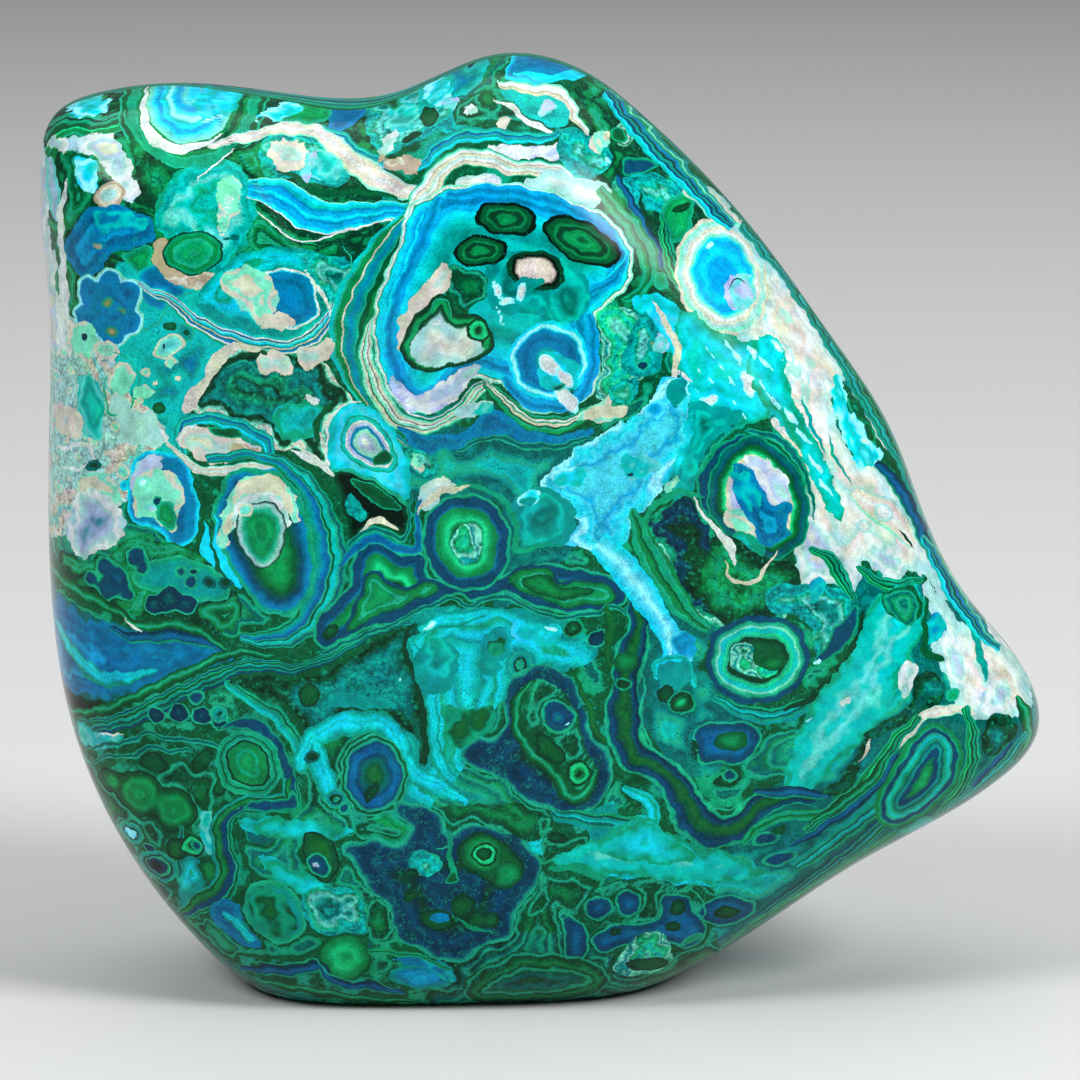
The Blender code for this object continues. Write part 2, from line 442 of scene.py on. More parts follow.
colours = {
    "white": "BECFCB", "cream": "B8BFA9", "blush": "C2BAB2", "tan": "9C947A", "lilac": "9CAED0",
    "mist": "8CC2BE", "mint": "6CD0B2", "jade": "149C7A", "paleCyan": "84E6F0", "cyan": "04C4DC",
    "bright": "0296C8", "azure": "0074A2", "blue": "045C88", "navy": "05405E", "ink": "043046",
    "turquoise": "00AEA8", "teal": "008882", "deepTeal": "005C58", "sea": "048E68", "green": "047840",
    "forest": "024E2C", "pine": "043823", "black": "03160E", "emerald": "049252", "spring": "12C07C",
    "olive": "55803A", "moss": "0E5E2A", "haze": "56C2BE", "slate": "2A7C8E", "sky": "3CC4DE",
}

# Each kind's bands from the edge inwards, or from the right bank of a flow to its left bank, as colour and
# width in mm. A band marked ~ has no edges of its own and blends into its neighbours. The last band of a
# cell goes on to its core. Kinds of one texture stand together.
kinds = {
    "clear": {
        # eyes
        "darkEye": "black .3, forest .35, green .16, pine .4, green .3, ~emerald .5, forest .22, "
            "~emerald .4, spring 1",
        "spiralEye": "cyan .45, paleCyan .3, ~cyan .3, azure .35, ~blue .9, azure .6, ~teal .5, "
            "~turquoise .8, cyan 1",
        "ringEye": "jade .2, teal .35, pine .3, jade .18, sea .2, ink 1",
        "ringSpring": "pine .3, spring .3, ~emerald .3, pine 1",
        "greenRound": "jade .16, sea .4, forest .2, sea .3, jade .14, pine .3, green .9, sea .25, "
            "~green .6, ~emerald 1",
        "leafGreen": "pine .3, forest .35, ~green .6, emerald .2, green .9, ~emerald .3, ~green 1",
        "mossDark": "pine .3, forest .4, ~moss 1",
        "mossGlow": "pine .3, ~forest .6, ~moss .8, moss 1",
        "emeraldGlow": "~forest .4, ~green .6, ~emerald .8, ~spring 1.2, ~emerald 1",
        "navyEye": "jade .2, forest .3, jade .14, ~navy .5, blue .6, ~navy .5, ~deepTeal .6, ~forest .5, "
            "moss 1",
        "navyCell": "jade .15, sea .1, navy .6, ~blue 1",
        "inkCell": "jade .14, ink .6, ~deepTeal 1",
        "inkCore": "ink .4, black 1",
        "dotDark": "deepTeal .3, pine 1",
        "dotForest": "sea .2, pine .4, forest .2, ~emerald .4, spring 1",
        "lilacEye": "sea .18, turquoise .4, white .2, lilac .35, azure .4, mint .18, mist .45, lilac .3, "
            "white .7, pine .14, ~lilac .5, lilac 1",
        "bigOval": "cream .35, mint .3, mist .35, cream .3, white .3, mint .3, cyan .2, ~bright .5, "
            "~cyan 1.2, bright 1",
        "leafEye": "pine .15, ~sea .3, green .4, jade .15, ~sea .5, ~emerald .6, ~jade .8, sea 1",
        "creamRings": "cream .28, sea .2, white .25, mint .2, turquoise .3, cyan .3, teal .2, cream .28, "
            "forest .12, bright 1",
        "blueHeart": "white .2, ~cyan .2, azure .5, ~blue .9, azure 1",
        "archEye": "green .4, mint .15, ~haze .4, ~cyan .5, bright .4, cyan .3, ~turquoise .5, "
            "paleCyan .2, ~cyan .6, bright .5, ~haze .8, cyan 1",
        "seaRings": "jade .22, forest .55, sea .9, jade .16, green .4, forest .6, sea .8, pine .3, green 1",
        "flower": "mint .2, paleCyan .12, ~azure .3, azure .6, ~blue .8, azure 1",
        "bowl": "mint .2, white .22, sea .14, cyan .5, ~bright .7, azure .5, bright .5, ~cyan .7, "
            "~turquoise 1.6, teal 1.2, ~turquoise 1",
        "egg": "jade .18, sea .3, ~azure .6, ~navy 1, ~forest .8, ~green .9, ~emerald .8, ~green 1",
        "eggCore": "pine .14, ~mist .5, ~jade .5, ~green .7, ~emerald .5, green 1",
        "roundGreen": "jade .16, sea .16, navy .9, ~blue .4, green .35, ~emerald .8, spring .25, "
            "~green .5, pine .5, ~forest 1",
        "kidney": "navy .3, ~forest .3, green .4, jade .15, ~green .5, ~emerald .5, ~green 1",
        "nodule": "sea .2, deepTeal .5, ~navy .4, forest .3, ~green .5, spring .2, cream .3, ~lilac 1",
        "hairpin": "green .4, sea .3, navy .55, jade .2, turquoise .4, sea .35, deepTeal .35, teal .3, "
            "navy .55, ~green .4, emerald .35, ~sea .4, green 1",
        "turquoiseRing": "navy .5, ~deepTeal .3, jade .3, ~mint .3, turquoise .5, ~spring .4, jade .2, "
            "pine .4, ~forest 1",
        "cyanLens": "~teal .4, ~azure .4, bright .5, ~cyan 1",
        "heartRing": "pine .3, ~forest .35, emerald .4, pine .25, forest .15, ~mist .4, ~white .7, white 1",
        "darkRing": "pine .35, black .3, ~blush .4, blush 1",
        # plain patches
        "creamBare": "~cream .5, cream 1",
        "whitePatch": "~mist .25, white 1",
        "whiteSpot": "paleCyan .12, white 1",
        "tanSpot": "azure .1, ~teal .2, tan 1",
        "oliveSpot": "teal .2, ~olive .3, tan 1",
        "mintTan": "cream .22, ~mint .6, ~tan 1",
        "mintRing": "cream .2, mint .2, ~haze .3, ~teal 1",
        "tanRing": "tan .35, cream .45, mist 1",
        "forestPatch": "sea .16, forest .4, ~pine 1",
        "pinePatch": "pine .3, ~black .6, black 1",
        "greenPatch": "jade .16, sea .2, ~green .5, emerald 1",
        "seaPatch": "jade .14, ~sea .6, teal 1",
        "deepPatch": "~deepTeal .5, deepTeal 1",
        "azurePatch": "cyan .2, ~bright .4, azure .8, ~blue 1",
        "navyPatch": "sea .14, ~navy .4, navy 1",
        "bluePatch": "~azure .4, ~blue .8, blue 1",
        # flows, from the right bank to the left bank
        "whiteLine": "white 1",
        "creamLine": "cream 1",
        "mintLine": "jade 1",
        "forestLine": "forest 1",
        "pineLine": "pine 1",
        "seaLine": "sea 1",
        "tealLine": "teal 1",
        "cyanLine": "cyan 1",
        # Painted reflection: this pale lilac streak paints the left softbox's glare down the left edge.
        "lilacLine": "~haze .3, ~lilac .7, ~haze .3",
        "doubleLine": "jade .22, deepTeal .5, jade .16",
        "mossVein": "~forest .3, moss .5, ~forest .3",
        "creamFlow": "sea .2, cream .5, tan .12, white .45, mist .2, cream .45, tan .1, white .4, "
            "mint .25, sea .2",
        "creamWide": "mint .2, ~cream .5, ~blush .6, ~white .4, ~blush .5, ~cream .4, mist .2",
        "archFlow": "mint .3, white .9, tan .2, cream .5",
        "stripes": "turquoise .4, jade .2, green .6, cream .12, teal .4, ~azure .6, teal .3, jade .15, "
            "forest .5, green .6, jade .15, sea .4, cream .2, mint .3, cream .25, sea .3",
        "mintStripes": "sea .3, mint .3, cream .3, forest .14, mint .35, white .3, pine .1, cream .35, "
            "mint .3, sea .3, forest .12, white .2, teal .3",
        "creamStripes": "sea .4, white .28, azure .4, forest .12, cream .2, teal .35, cyan .3, mint .2, "
            "blue .3, white .2, turquoise .5",
        "blueWave": "white .1, cyan .4, bright .5, ~azure .5, cyan .3, bright .4, ~azure .5, turquoise .3, "
            "cyan .4, mint .12",
        "blueLine": "~bright .4, azure .2, ~bright .4",
        "cyanDark": "turquoise .25, cyan .3, teal .3, jade .12, azure .35, pine .12, turquoise .35, "
            "jade .15, teal .25",
        "greenBands": "jade .2, green .5, spring .2, forest .5, sea .4, pine .25, jade .2, sea .3",
        "bowlEdge": "forest .4, emerald .4, jade .2, forest .25, cream .35, sea .2, white .25, green .3, "
            "jade .2",
        "rimStripes": "turquoise .4, cyan .25, navy .3, teal .3, pine .2, azure .3, sea .3, mint .15, "
            "teal .4",
        "emeraldBand": "pine .3, forest .4, ~green .6, jade .15, ~green .5, forest .3",
        "deepStripes": "forest .3, navy .5, sea .25, deepTeal .4, pine .2, teal .4, jade .12, forest .4, "
            "sea .3, navy .3, jade .15",
        "cyanBand": "jade .15, turquoise .4, ~teal .5, sea .3, pine .2, jade .12, sea .3",
        "waveStripe": "teal .3, jade .12, forest .35, green .4, ~moss .4, navy .75, jade .16, forest .25, "
            "sea .25",
        "navyBand": "sea .16, ~navy .5, blue .4, ~navy .5, ink .3",
        "blueBand": "jade .16, ~azure .4, blue .8, ~azure .4, sea .2",
        "seaBands": "sea .4, jade .14, green .4, forest .25, sea .5, jade .12, green .3",
        "tealBands": "teal .4, sea .2, deepTeal .3, turquoise .2, teal .3, pine .16, sea .3",
        "arcGlow": "~turquoise .4, cyan .3, ~turquoise .4, sea .14, turquoise .4",
        "roundWave": "sea .25, jade .14, forest .3, sea .2, teal .4, ~azure .5, blue .35, jade .16, "
            "forest .25, turquoise .5, jade .14, ~navy .5, sea .2",
        "girdle": "~forest .5, sea .4, ~deepTeal .8, jade .2, ~teal .6, navy .5, ~sea .7, turquoise .3, "
            "~forest .6, sea .3",
    },
    "swirl": {
        "seaMix": "forest .25, sea .2, jade .1, deepTeal .3, ~green .5, jade .07, ~deepTeal .7, sea .3, "
            "jade .06, ~teal .6, ~deepTeal .7, sea .2, ~green .5, ~deepTeal .8, ~teal .6, ~green .8, "
            "~deepTeal 1",
        "greenMix": "pine .2, green .3, jade .1, ~green .5, forest .3, jade .08, ~green .7, sea .25, "
            "forest .2, ~green .8, jade .07, ~forest .7, ~green .8, ~forest .8, ~green 1",
        "deepMix": "pine .25, deepTeal .25, jade .1, ~pine .5, ~deepTeal .6, jade .08, ~ink .6, sea .2, "
            "~deepTeal .8, ~pine .8, jade .08, ~deepTeal .8, ~ink .8, ~teal .8, ~pine .8, ~deepTeal 1",
        "tealBlue": "~turquoise .6, teal .15, ~azure .9, ~turquoise .7, jade .08, ~azure 1, ~bright .7, "
            "teal .15, ~azure 1.2, ~turquoise 1, ~azure 1.2, ~bright .8, ~teal 1",
        "blueMix": "~azure .8, blue .6, ~bright .5, ~azure .8, ~navy .8, ~blue .8, cyan .2, ~azure .9, "
            "~blue 1",
        "navyPool": "jade .13, ~navy .8, ~ink .9, ~navy .8, ~ink .9, ~pine .9, ~ink .8, ~navy 1, ~ink 1",
        "forestMix": "~forest .3, jade .07, ~pine .5, ~forest .6, ~green .4, ~pine .6, jade .05, "
            "~forest .7, deepTeal .4, ~pine .8, ~moss .4, ~deepTeal .8, ~forest 1",
        "turquoiseMix": "teal .25, ~turquoise .5, ~cyan .6, sea .12, ~turquoise .7, ~cyan .6, ~teal .5, "
            "~turquoise .8, ~cyan .6, ~turquoise .8, ~teal .5, ~turquoise 1",
        "tealCalm": "deepTeal .15, ~teal .6, jade .07, ~turquoise .9, ~teal .8, ~turquoise .9, "
            "~deepTeal .4, ~teal 1, ~turquoise .9, ~teal 1",
    },
    "druse": {
        "paleDruse": "~mist .5, ~blush .6, ~cream .5, ~mist .6, ~haze .5, ~cream .7, ~blush .6, ~mist 1",
        "emeraldDruse": "~pine .6, ~forest .6, ~green .8, ~sea .6, ~emerald .7, ~green .7, ~forest .7, "
            "~emerald 1",
        "pineDruse": "cream .25, mint .2, ~forest .5, pine .5, ~teal 1, ~deepTeal .8, ~sea .9, ~pine 1, "
            "~teal 1, ~pine 1",
        "slateDruse": "pine .3, ~forest .5, ~deepTeal .9, ~teal 1.2, ~deepTeal 1, ~sea 1, ~deepTeal 1",
        "navyDruse": "mint .2, sea .6, ink .5, ~navy .7, ~pine 1, ~forest 1, ~pine 1, ~forest 1",
        "springDruse": "~teal .2, mint .2, ~sea .5, ~spring .4, ~turquoise .6, ~spring .5, ~haze .4, "
            "~sea 1",
        "tealDruse": "~teal .4, ~turquoise .5, ~sea .6, ~haze .4, ~teal .6, ~deepTeal .5, ~turquoise 1",
        "mossDruse": "~mint .4, ~forest .5, mist .3, ~pine .5, ~olive .5, ~slate .6, ~forest .7, ~mint .5, "
            "~teal 1",
    },
    "spray": {
        "navyMoss": "jade .14, sea .22, navy .7, ~ink .4, ~forest .6, ~moss .6, ~forest .5, ~navy .5, "
            "ink .5, sea .2, jade .14",
        "paleTail": "~cyan .3, ~sky .6, ~paleCyan .3, ~sky .6, ~cyan .3",
        "cyanGlow": "~sea .4, ~teal .5, ~turquoise .8, ~cyan .9, ~turquoise .5, ~cyan .6, ~turquoise .7, "
            "~teal .5",
        "turquoiseSpray": "~sea .5, ~turquoise .7, ~teal .4, ~turquoise .7, ~haze .4, ~turquoise .8, "
            "~sea .5, ~turquoise 1",
        "cyanMosaic": "paleCyan .25, ~sky .6, ~cyan .5, ~sky .8, ~bright .4, ~sky 1, ~sky 1",
    },
    "cloud": {
        "seaGlow": "~sea .5, ~turquoise .9, ~turquoise 1.2, ~haze .4, ~turquoise 1, ~cyan .8, "
            "~turquoise 1.5, ~haze .4, ~turquoise 1",
        "turquoisePatch": "~turquoise .5, ~haze .4, ~turquoise .6, ~teal .5, ~turquoise 1",
        "brightPatch": "~sky .3, ~bright .5, ~azure .6, ~bright 1",
        "cyanPatch": "~paleCyan .3, ~cyan .6, ~turquoise .5, ~sky .7, ~cyan 1",
        "mossSoft": "~sea .4, ~forest .7, ~moss .8, ~pine 1",
        "turquoiseGlow": "~sea .5, ~turquoise .9, ~cyan 1.2, ~turquoise 1, ~cyan 1, ~turquoise 1.5, "
            "~cyan 1",
        "blueCloud": "~deepTeal .5, ~azure .7, ~blue 1, ~azure .8, ~blue .8, ~bright .7, ~azure .7, "
            "~blue 1, ~navy .8, ~azure .8, ~blue 1",
        "tanPatch": "cream .14, tan 1",
        "creamPatch": "mint .2, ~cream .4, cream 1",
        "mintPatch": "cream .2, ~mint .5, mint 1",
        "mistPatch": "white .22, ~mist .8, mist 1",
        "lilacPatch": "white .4, ~mist .5, ~lilac .9, ~slate 1.4, ~lilac 1",
        "tealSoft": "~teal .5, ~teal .6, ~turquoise .6, ~teal .7, ~deepTeal .6, ~teal 1",
        "cyanSoft": "~turquoise .5, ~cyan .7, ~sky .6, ~cyan .8, ~turquoise .7, ~cyan 1",
        "azureSoft": "~turquoise .4, ~azure .6, ~blue .7, ~azure .6, ~bright .6, ~azure 1",
        "lilacSoft": "~haze .4, ~lilac .6, lilac 1",
        # This white cloud is partly pale mineral and partly painted reflection: on the right shoulder and
        # in the bowl it paints softbox glare into the colour.
        "whiteField": "~mist .8, ~white 1.4, ~blush 1, ~mist .7, ~white 1.8, ~blush 1.2, ~white 1.6, "
            "~mist 1, ~white 1",
        # A pale grey cloud that is partly pale mineral and partly painted reflection of the softboxes along
        # the rounded edges.
        "greyField": "~white .6, ~mist .5, ~lilac .7, ~cream .8, ~lilac 1, ~white 1",
        "lilacCloud": "~white .3, ~lilac .8, ~mist .7, ~lilac 1, lilac 1",
        "blushCloud": "~cream .3, ~blush .8, ~mist .8, ~cream .8, blush 1",
    },
}


# The front face's layers, lowest first.
fields = grown("""
sharp seaMix -64,116 64,116 64,-8 -64,-8
patch greenMix -63,112 -20,112 -19,96 -21,88 -33,87 -42,84 -63,83
patch tealBlue -49,90 -38,88 -32,84 -36,77 -41,73 -44,66 -48,72 -50,80
patch paleDruse -62,83 -53,82 -50,79 -48,75 -44,71 -46,67 -49,62 -55,58 -62,57
patch forestMix -62,40 -44,41 -32,41 -20,30 -24,16 -20,8 -30,-6 -62,-6
patch seaMix -37,27 -24,25 -20,17 -21,9 -31,7 -40,8 -38,17
patch forestMix -22,24 -14,26 0,26 5,16 18,17 22,8 10,-4 -18,-4 -20,8
patch deepMix -10,10 6,9 12,-4 -20,-6 -12,3
patch tealCalm -17,72 -2,70 8,69 4,58 -2,52 -6,50 -5,62 -14,62 -22,66
patch turquoiseMix -16,49 -8,50 2,49 6,44 -4,40 -8,33 -14,24 -2,22 8,27 9,20 24,19 22,16 6,18 -2,21 -20,26
    -17,33 -16,40
patch greenMix 3,109 9,108 16,99 21,94 15,87 10,84 6,95 2,102
patch tealCalm 34,52 46,50 60,37 62,28 38,10 24,2 20,14 24,26 34,32 40,38
patch tealCalm 11,53 20,49 18,43 24,38 22,32 17,30 11,38
""")

# Painted reflection: the grey field, the lilac streak and the white streak down the left edge paint the
# left softbox's glare, over pale mineral.
# Painted reflection: this grey field paints the top of the left softbox's glare, over pale mineral.
topLeft = grown("""
flow tealBands -60.5,110,1.6 -50,109.2,1.1 -38,109.2,.9 -26,108.2,.8 -19,108.4,.7
flow greenBands -60,101,1.4 -56.5,104.8,1.1 -51,105.2,1 -48,106.8,.8 -46.5,109,.6
eye cyanPatch -53.7,106.8,2.5,.85,4
eye seaRings -41.2,107.6,8.6,7.4
eye archEye -41.3,108.4,5.7,5.3
flow whiteLine -47,108.6,.2 -46.6,106,.5 -45.2,103.9,.6 -42.6,102.9,.55 -39.6,103.2,.3 -37.6,104.2,.1
eye cyanSoft -38.4,107.6,2.6,1.8,10
eye whiteSpot -38.6,105.9,1.4,.3,10
patch greenMix -50,104 -46,102 -42,100.6 -37,102 -33,103.4 -30,101 -33,97 -38,93 -46,96 -51,98
flow mintLine -49.2,106.4,.1 -47.6,104.4,.11 -46.2,103,.11 -44.6,101.6,.11 -41.5,100.9,.1 -38.8,101.2,.08
patch greyField -58,103.4 -53,104 -50.5,104.3 -49,103.3 -47.6,100.5 -46.7,97.6 -48.4,97.2 -49.7,99.2
    -50.9,101.2 -53,102.3 -57.5,102.4
patch emeraldDruse -47.9,104 -45.5,102.3 -43.2,100.6 -42.3,98.2 -43.7,96.7 -46.2,97 -46.9,99.6
patch cyanPatch -54.3,101.6 -52.2,101.3 -51.6,99.2 -52.3,97.7 -54,98.9
patch turquoiseSpray -44,98.6 -41.4,100.8 -37.6,101.8 -34.5,100.4 -33.2,97 -33.4,93.6 -35.4,91 -37.6,88.4
    -39,88.8 -39.6,91 -41.2,93 -43.8,93.4 -44.8,96
patch mintPatch -37.4,99.4 -35.8,99.6 -35,97.6 -36,95 -37.2,93.4 -37.6,96
eye mistPatch -36.4,97,1.6,.4,72
cluster dotDark -36.8,93,.4 -35.9,93.2,.35 -35.2,93,.3
flow whiteLine -36.1,102.6,.08 -37.8,101.4,.1 -39.9,99.8,.06
eye tanRing -50.2,97.7,1.9,1.5,20
patch blueMix -52.6,96.1 -49,96.6 -45.4,95.2 -44.9,93.2 -46.8,92 -49.6,91.2 -51.4,89.2 -53,88 -54.6,88.7
    -55.8,90.2 -55.5,92.2 -54.4,94.2
patch azureSoft -52.2,95.7 -49,96.2 -45.7,94.9 -46.5,93.7 -49,94 -51.5,93.4
eye tanSpot -51.7,91.9,1,.6,10
patch greenPatch -45.3,92.3 -47,91.8 -49,91 -47.3,89.6 -45.8,88 -45.2,90
patch azureSoft -46.3,89.2 -43,89.4 -40.8,87.4 -42,85 -45.5,84.8 -47,87
patch tanPatch -45,92.6 -44.6,90 -43,88 -40.6,87.4 -39,86.6 -37.8,84.6 -37,86.6 -38,88.8 -40.4,89.4 -43,90.4
    -43.6,92.6
eye leafEye -40.4,91.4,3.5,2.5,6
flow mintLine -47.5,81.5,.1 -44.5,83.4,.13 -42.6,86.2,.11 -38,87.3,.08
patch greyField -61,101 -58.4,101.4 -57.4,97 -58.2,93 -57,89 -57.6,86 -56.4,82.6 -55.4,79 -58,78 -61,80
flow lilacLine -57.9,101,.5 -57.5,99,.9 -57.2,96.5,.9 -57,94.5,.4
flow whiteLine -55.4,98.8,.12 -55.9,97,.3 -56.4,94.6,.45 -56.2,90,.4 -56.2,86,.7 -56.4,83,.9 -56.9,79.5,.5
cluster flower -49.7,84.7,2.7 -52.6,86.4,1.9 -52.9,83.2,2 -50.2,81.9,1.9 -47.9,83.2,1.7 -48.1,86.5,1.9
    -50.3,87.9,1.6
eye oliveSpot -50.6,85.4,.9,.6,20 -48.9,84.5,.7,.5,-30 -50.1,81.9,.9,.7
""")

# The white patch and the white field below paint the top softbox's reflection on the upper slope of the
# bowl, over pale bands.
topMiddle = grown("""
patch tealDruse -32.5,104 -28,104 -24.4,102.6 -22.4,100 -24.6,98.6 -28,99.4 -32.5,100
patch blushCloud -31.5,103.3 -28.6,103.5 -27.2,101.6 -28.6,100.4 -31.4,100.9
eye turquoisePatch -25.2,100.9,2.4,1.6,-15
eye lilacSoft -27.2,100.7,1.5,.6,65
patch bluePatch -25,107.7 -21.6,108 -20.6,106.8 -22,105.2 -24.4,104.2 -25.6,106
patch greenPatch -30,107.6 -25.4,107.8 -25.4,105.4 -29,105.2 -31.4,105.6
eye cyanPatch -30.6,106.4,2.3,.6,12
patch tealDruse -20.6,108.6 -14,109.6 -10,107.6 -8.6,105.4 -12.2,104.6 -15.4,103.2 -18,102.2 -20.4,103.6
eye turquoisePatch -16.6,105.9,2,1.5,20
eye mistPatch -18,103.6,1.4,.6,60
eye forestPatch -18.2,107.4,1.4,.7,-10
eye mossDark -13.4,106.2,1.1,1,-40
eye pinePatch -15.4,104,1.3,.35,35
patch tealBlue -15,109 -12.6,111.4 -9.5,113.5 -6.6,112 -8,109.5 -10.4,108 -13.6,107
patch cyanPatch -14.2,108.6 -12,110 -10.8,108.6 -12.6,107.2
eye lilacSoft -10.8,107.5,1,.7
eye inkCore -9,111.8,.8,.6
patch forestMix -10.4,107.4 -7.6,109 -4.4,108.6 -2.4,106.8 .4,105.4 -3,105.2 -6.6,105.2 -10,105.6
eye emeraldGlow -6.6,108.2,1.1,.9,20
eye mistPatch -8.5,107.1,.6,.4
eye creamPatch -4.7,105.8,.7,.45,20
patch tealBlue -5,109.6 0,109 2.6,107.6 2.8,105.6 .6,105.4 -1.6,106.4 -3.6,107.8
eye lilacSoft .3,107.3,1,.7,40
flow whiteLine -5.6,108.1,.1 -4,107.6,.25 -2.6,106.4,.3 -1.2,105.5,.35 .6,104.9,.2
flow archFlow 5,104.6,.2 3.7,106,.5 3.3,107.2,.6 2.2,108.5,.6 .2,109.2,.6 -2.4,109.4,.5 -5.2,109.9,.35
patch azurePatch -4.4,110.4 -1,109.9 2.6,109.9 6.2,110.2 4.6,112.6 -1,113.6 -3.6,112.6
flow cyanLine -3.2,110.9,.2 .5,110.4,.35 4,110.6,.3 6,110.4,.1
patch lilacCloud -6.6,103 -3.6,103.5 -1,103 2.4,103.8 4.6,104.6 4.2,102.6 2,101.9 -1,102 -4.4,101.9
flow cyanDark -25.8,104.6,.35 -23.6,103.7,.55 -21.2,102.3,.55 -18.8,101.3,.5 -16,101.1,.45 -14.2,101.2,.6
    -12.9,102.4,.7 -11.4,103.6,.8 -9,104.4,.8 -5.6,104.5,.7 -1,104.1,.6 2.4,104.8,.3
patch tanPatch -19.3,101.5 -17.5,101.9 -15.2,101.9 -14.4,101.6 -15.1,100 -16.6,100.4 -18.4,100.8
flow blueWave -34,98.4,1 -31.4,98.2,1.5 -29.2,97,1.9 -26.4,95.4,1.8 -23,95.4,1.6 -19,96,1.1 -15.4,96.3,.8
    -14.6,96.6,.6
patch greenMix -33,95.6 -30,93.4 -27,92.2 -23.6,92.8 -20,94.2 -16.6,94.6 -18.6,91 -22,91 -26,90.2 -30,90.6
    -34,92
flow whiteLine -33,95.8,.06 -31,94.4,.1 -29.4,93.1,.1 -27.2,92.5,.06 -25,93.2,.1 -22,94,.12 -19.6,94.8,.1
    -16.4,95,.06
flow creamWide -38.6,103.2,.3 -35,103.9,.55 -31,104.7,.6 -27.4,104.5,.7 -25.2,103.6,.85 -22.6,101.6,1.1
    -20,99.9,1.35 -17.4,98.7,1.1 -15.4,98.1,.8
flow creamFlow -15.8,95.4,.7 -14.4,97.4,1.1 -13,99,1.2 -11.9,100.6,1.1 -10.2,101.8,1.05 -7,102.1,1
    -4.6,101.2,1 -2,100.8,.9 1,100.7,.8 3.6,99.4,.5
patch whitePatch -10.2,99.6 -7.4,100.3 -5,99.9 -5.4,98.8 -7.8,98.4 -10,98.1
patch whiteField 1,100.6 4,99.8 6,98.9 7.8,98.1 6.6,97 5.4,96.2 3.2,96.9 1.6,98 -2.4,99 -1,99.9
flow forestLine -30.4,100.3,.15 -28.6,99.6,.3 -27.2,98.7,.35 -26,97.9,.5 -24,98,.35 -21,98.1,.3 -17,97.6,.15
patch turquoiseMix -38,89 -34,91.6 -29,92 -25.4,90.6 -23.8,87.6 -23.8,84 -26,81 -29.4,80.2 -33,80.8 -37,82.6
    -40,85.4
flow creamStripes -46.6,87.6,.4 -43.2,86,.7 -40.4,83.8,.9 -37,82,1.1 -33.4,80.9,1.2 -29.6,80.6,1.1
    -26.4,82,1 -24.4,84.8,.8 -23.8,87.6,.5
patch blueHeart -33.6,88.6 -30,89.6 -27,88.7 -26.1,86.2 -26.2,84.1 -28.4,82.7 -31,83 -32.6,84.6 -34.6,86.4
patch mintPatch -37.2,88.4 -35,89.8 -32.4,89.2 -30.8,87.2 -31,84.8 -32.4,83 -34.4,84.6 -36.2,86.4
patch creamPatch -36.4,88 -34.2,88.8 -32.6,87.4 -32.6,85.2 -34,85.2 -35.4,86.6
patch blushCloud -32.4,84.4 -30.4,84.4 -28.2,83.6 -29.4,82.8 -31.8,82.7
patch tealDruse -27.2,91 -22.8,90.9 -20.5,91.4 -21.6,88 -23.4,85.2 -25.2,86.6
flow whiteLine -27.6,89.2,.1 -26.6,87.8,.2 -25.4,86.8,.2 -24.6,84.4,.1
patch pinePatch -22.9,90.8 -20.2,91.6 -20.4,90 -21.6,89.7
flow mintLine -23.2,91.8,.06 -22.2,90.8,.1 -22.6,88.6,.08 -24.2,86.6,.06
""")
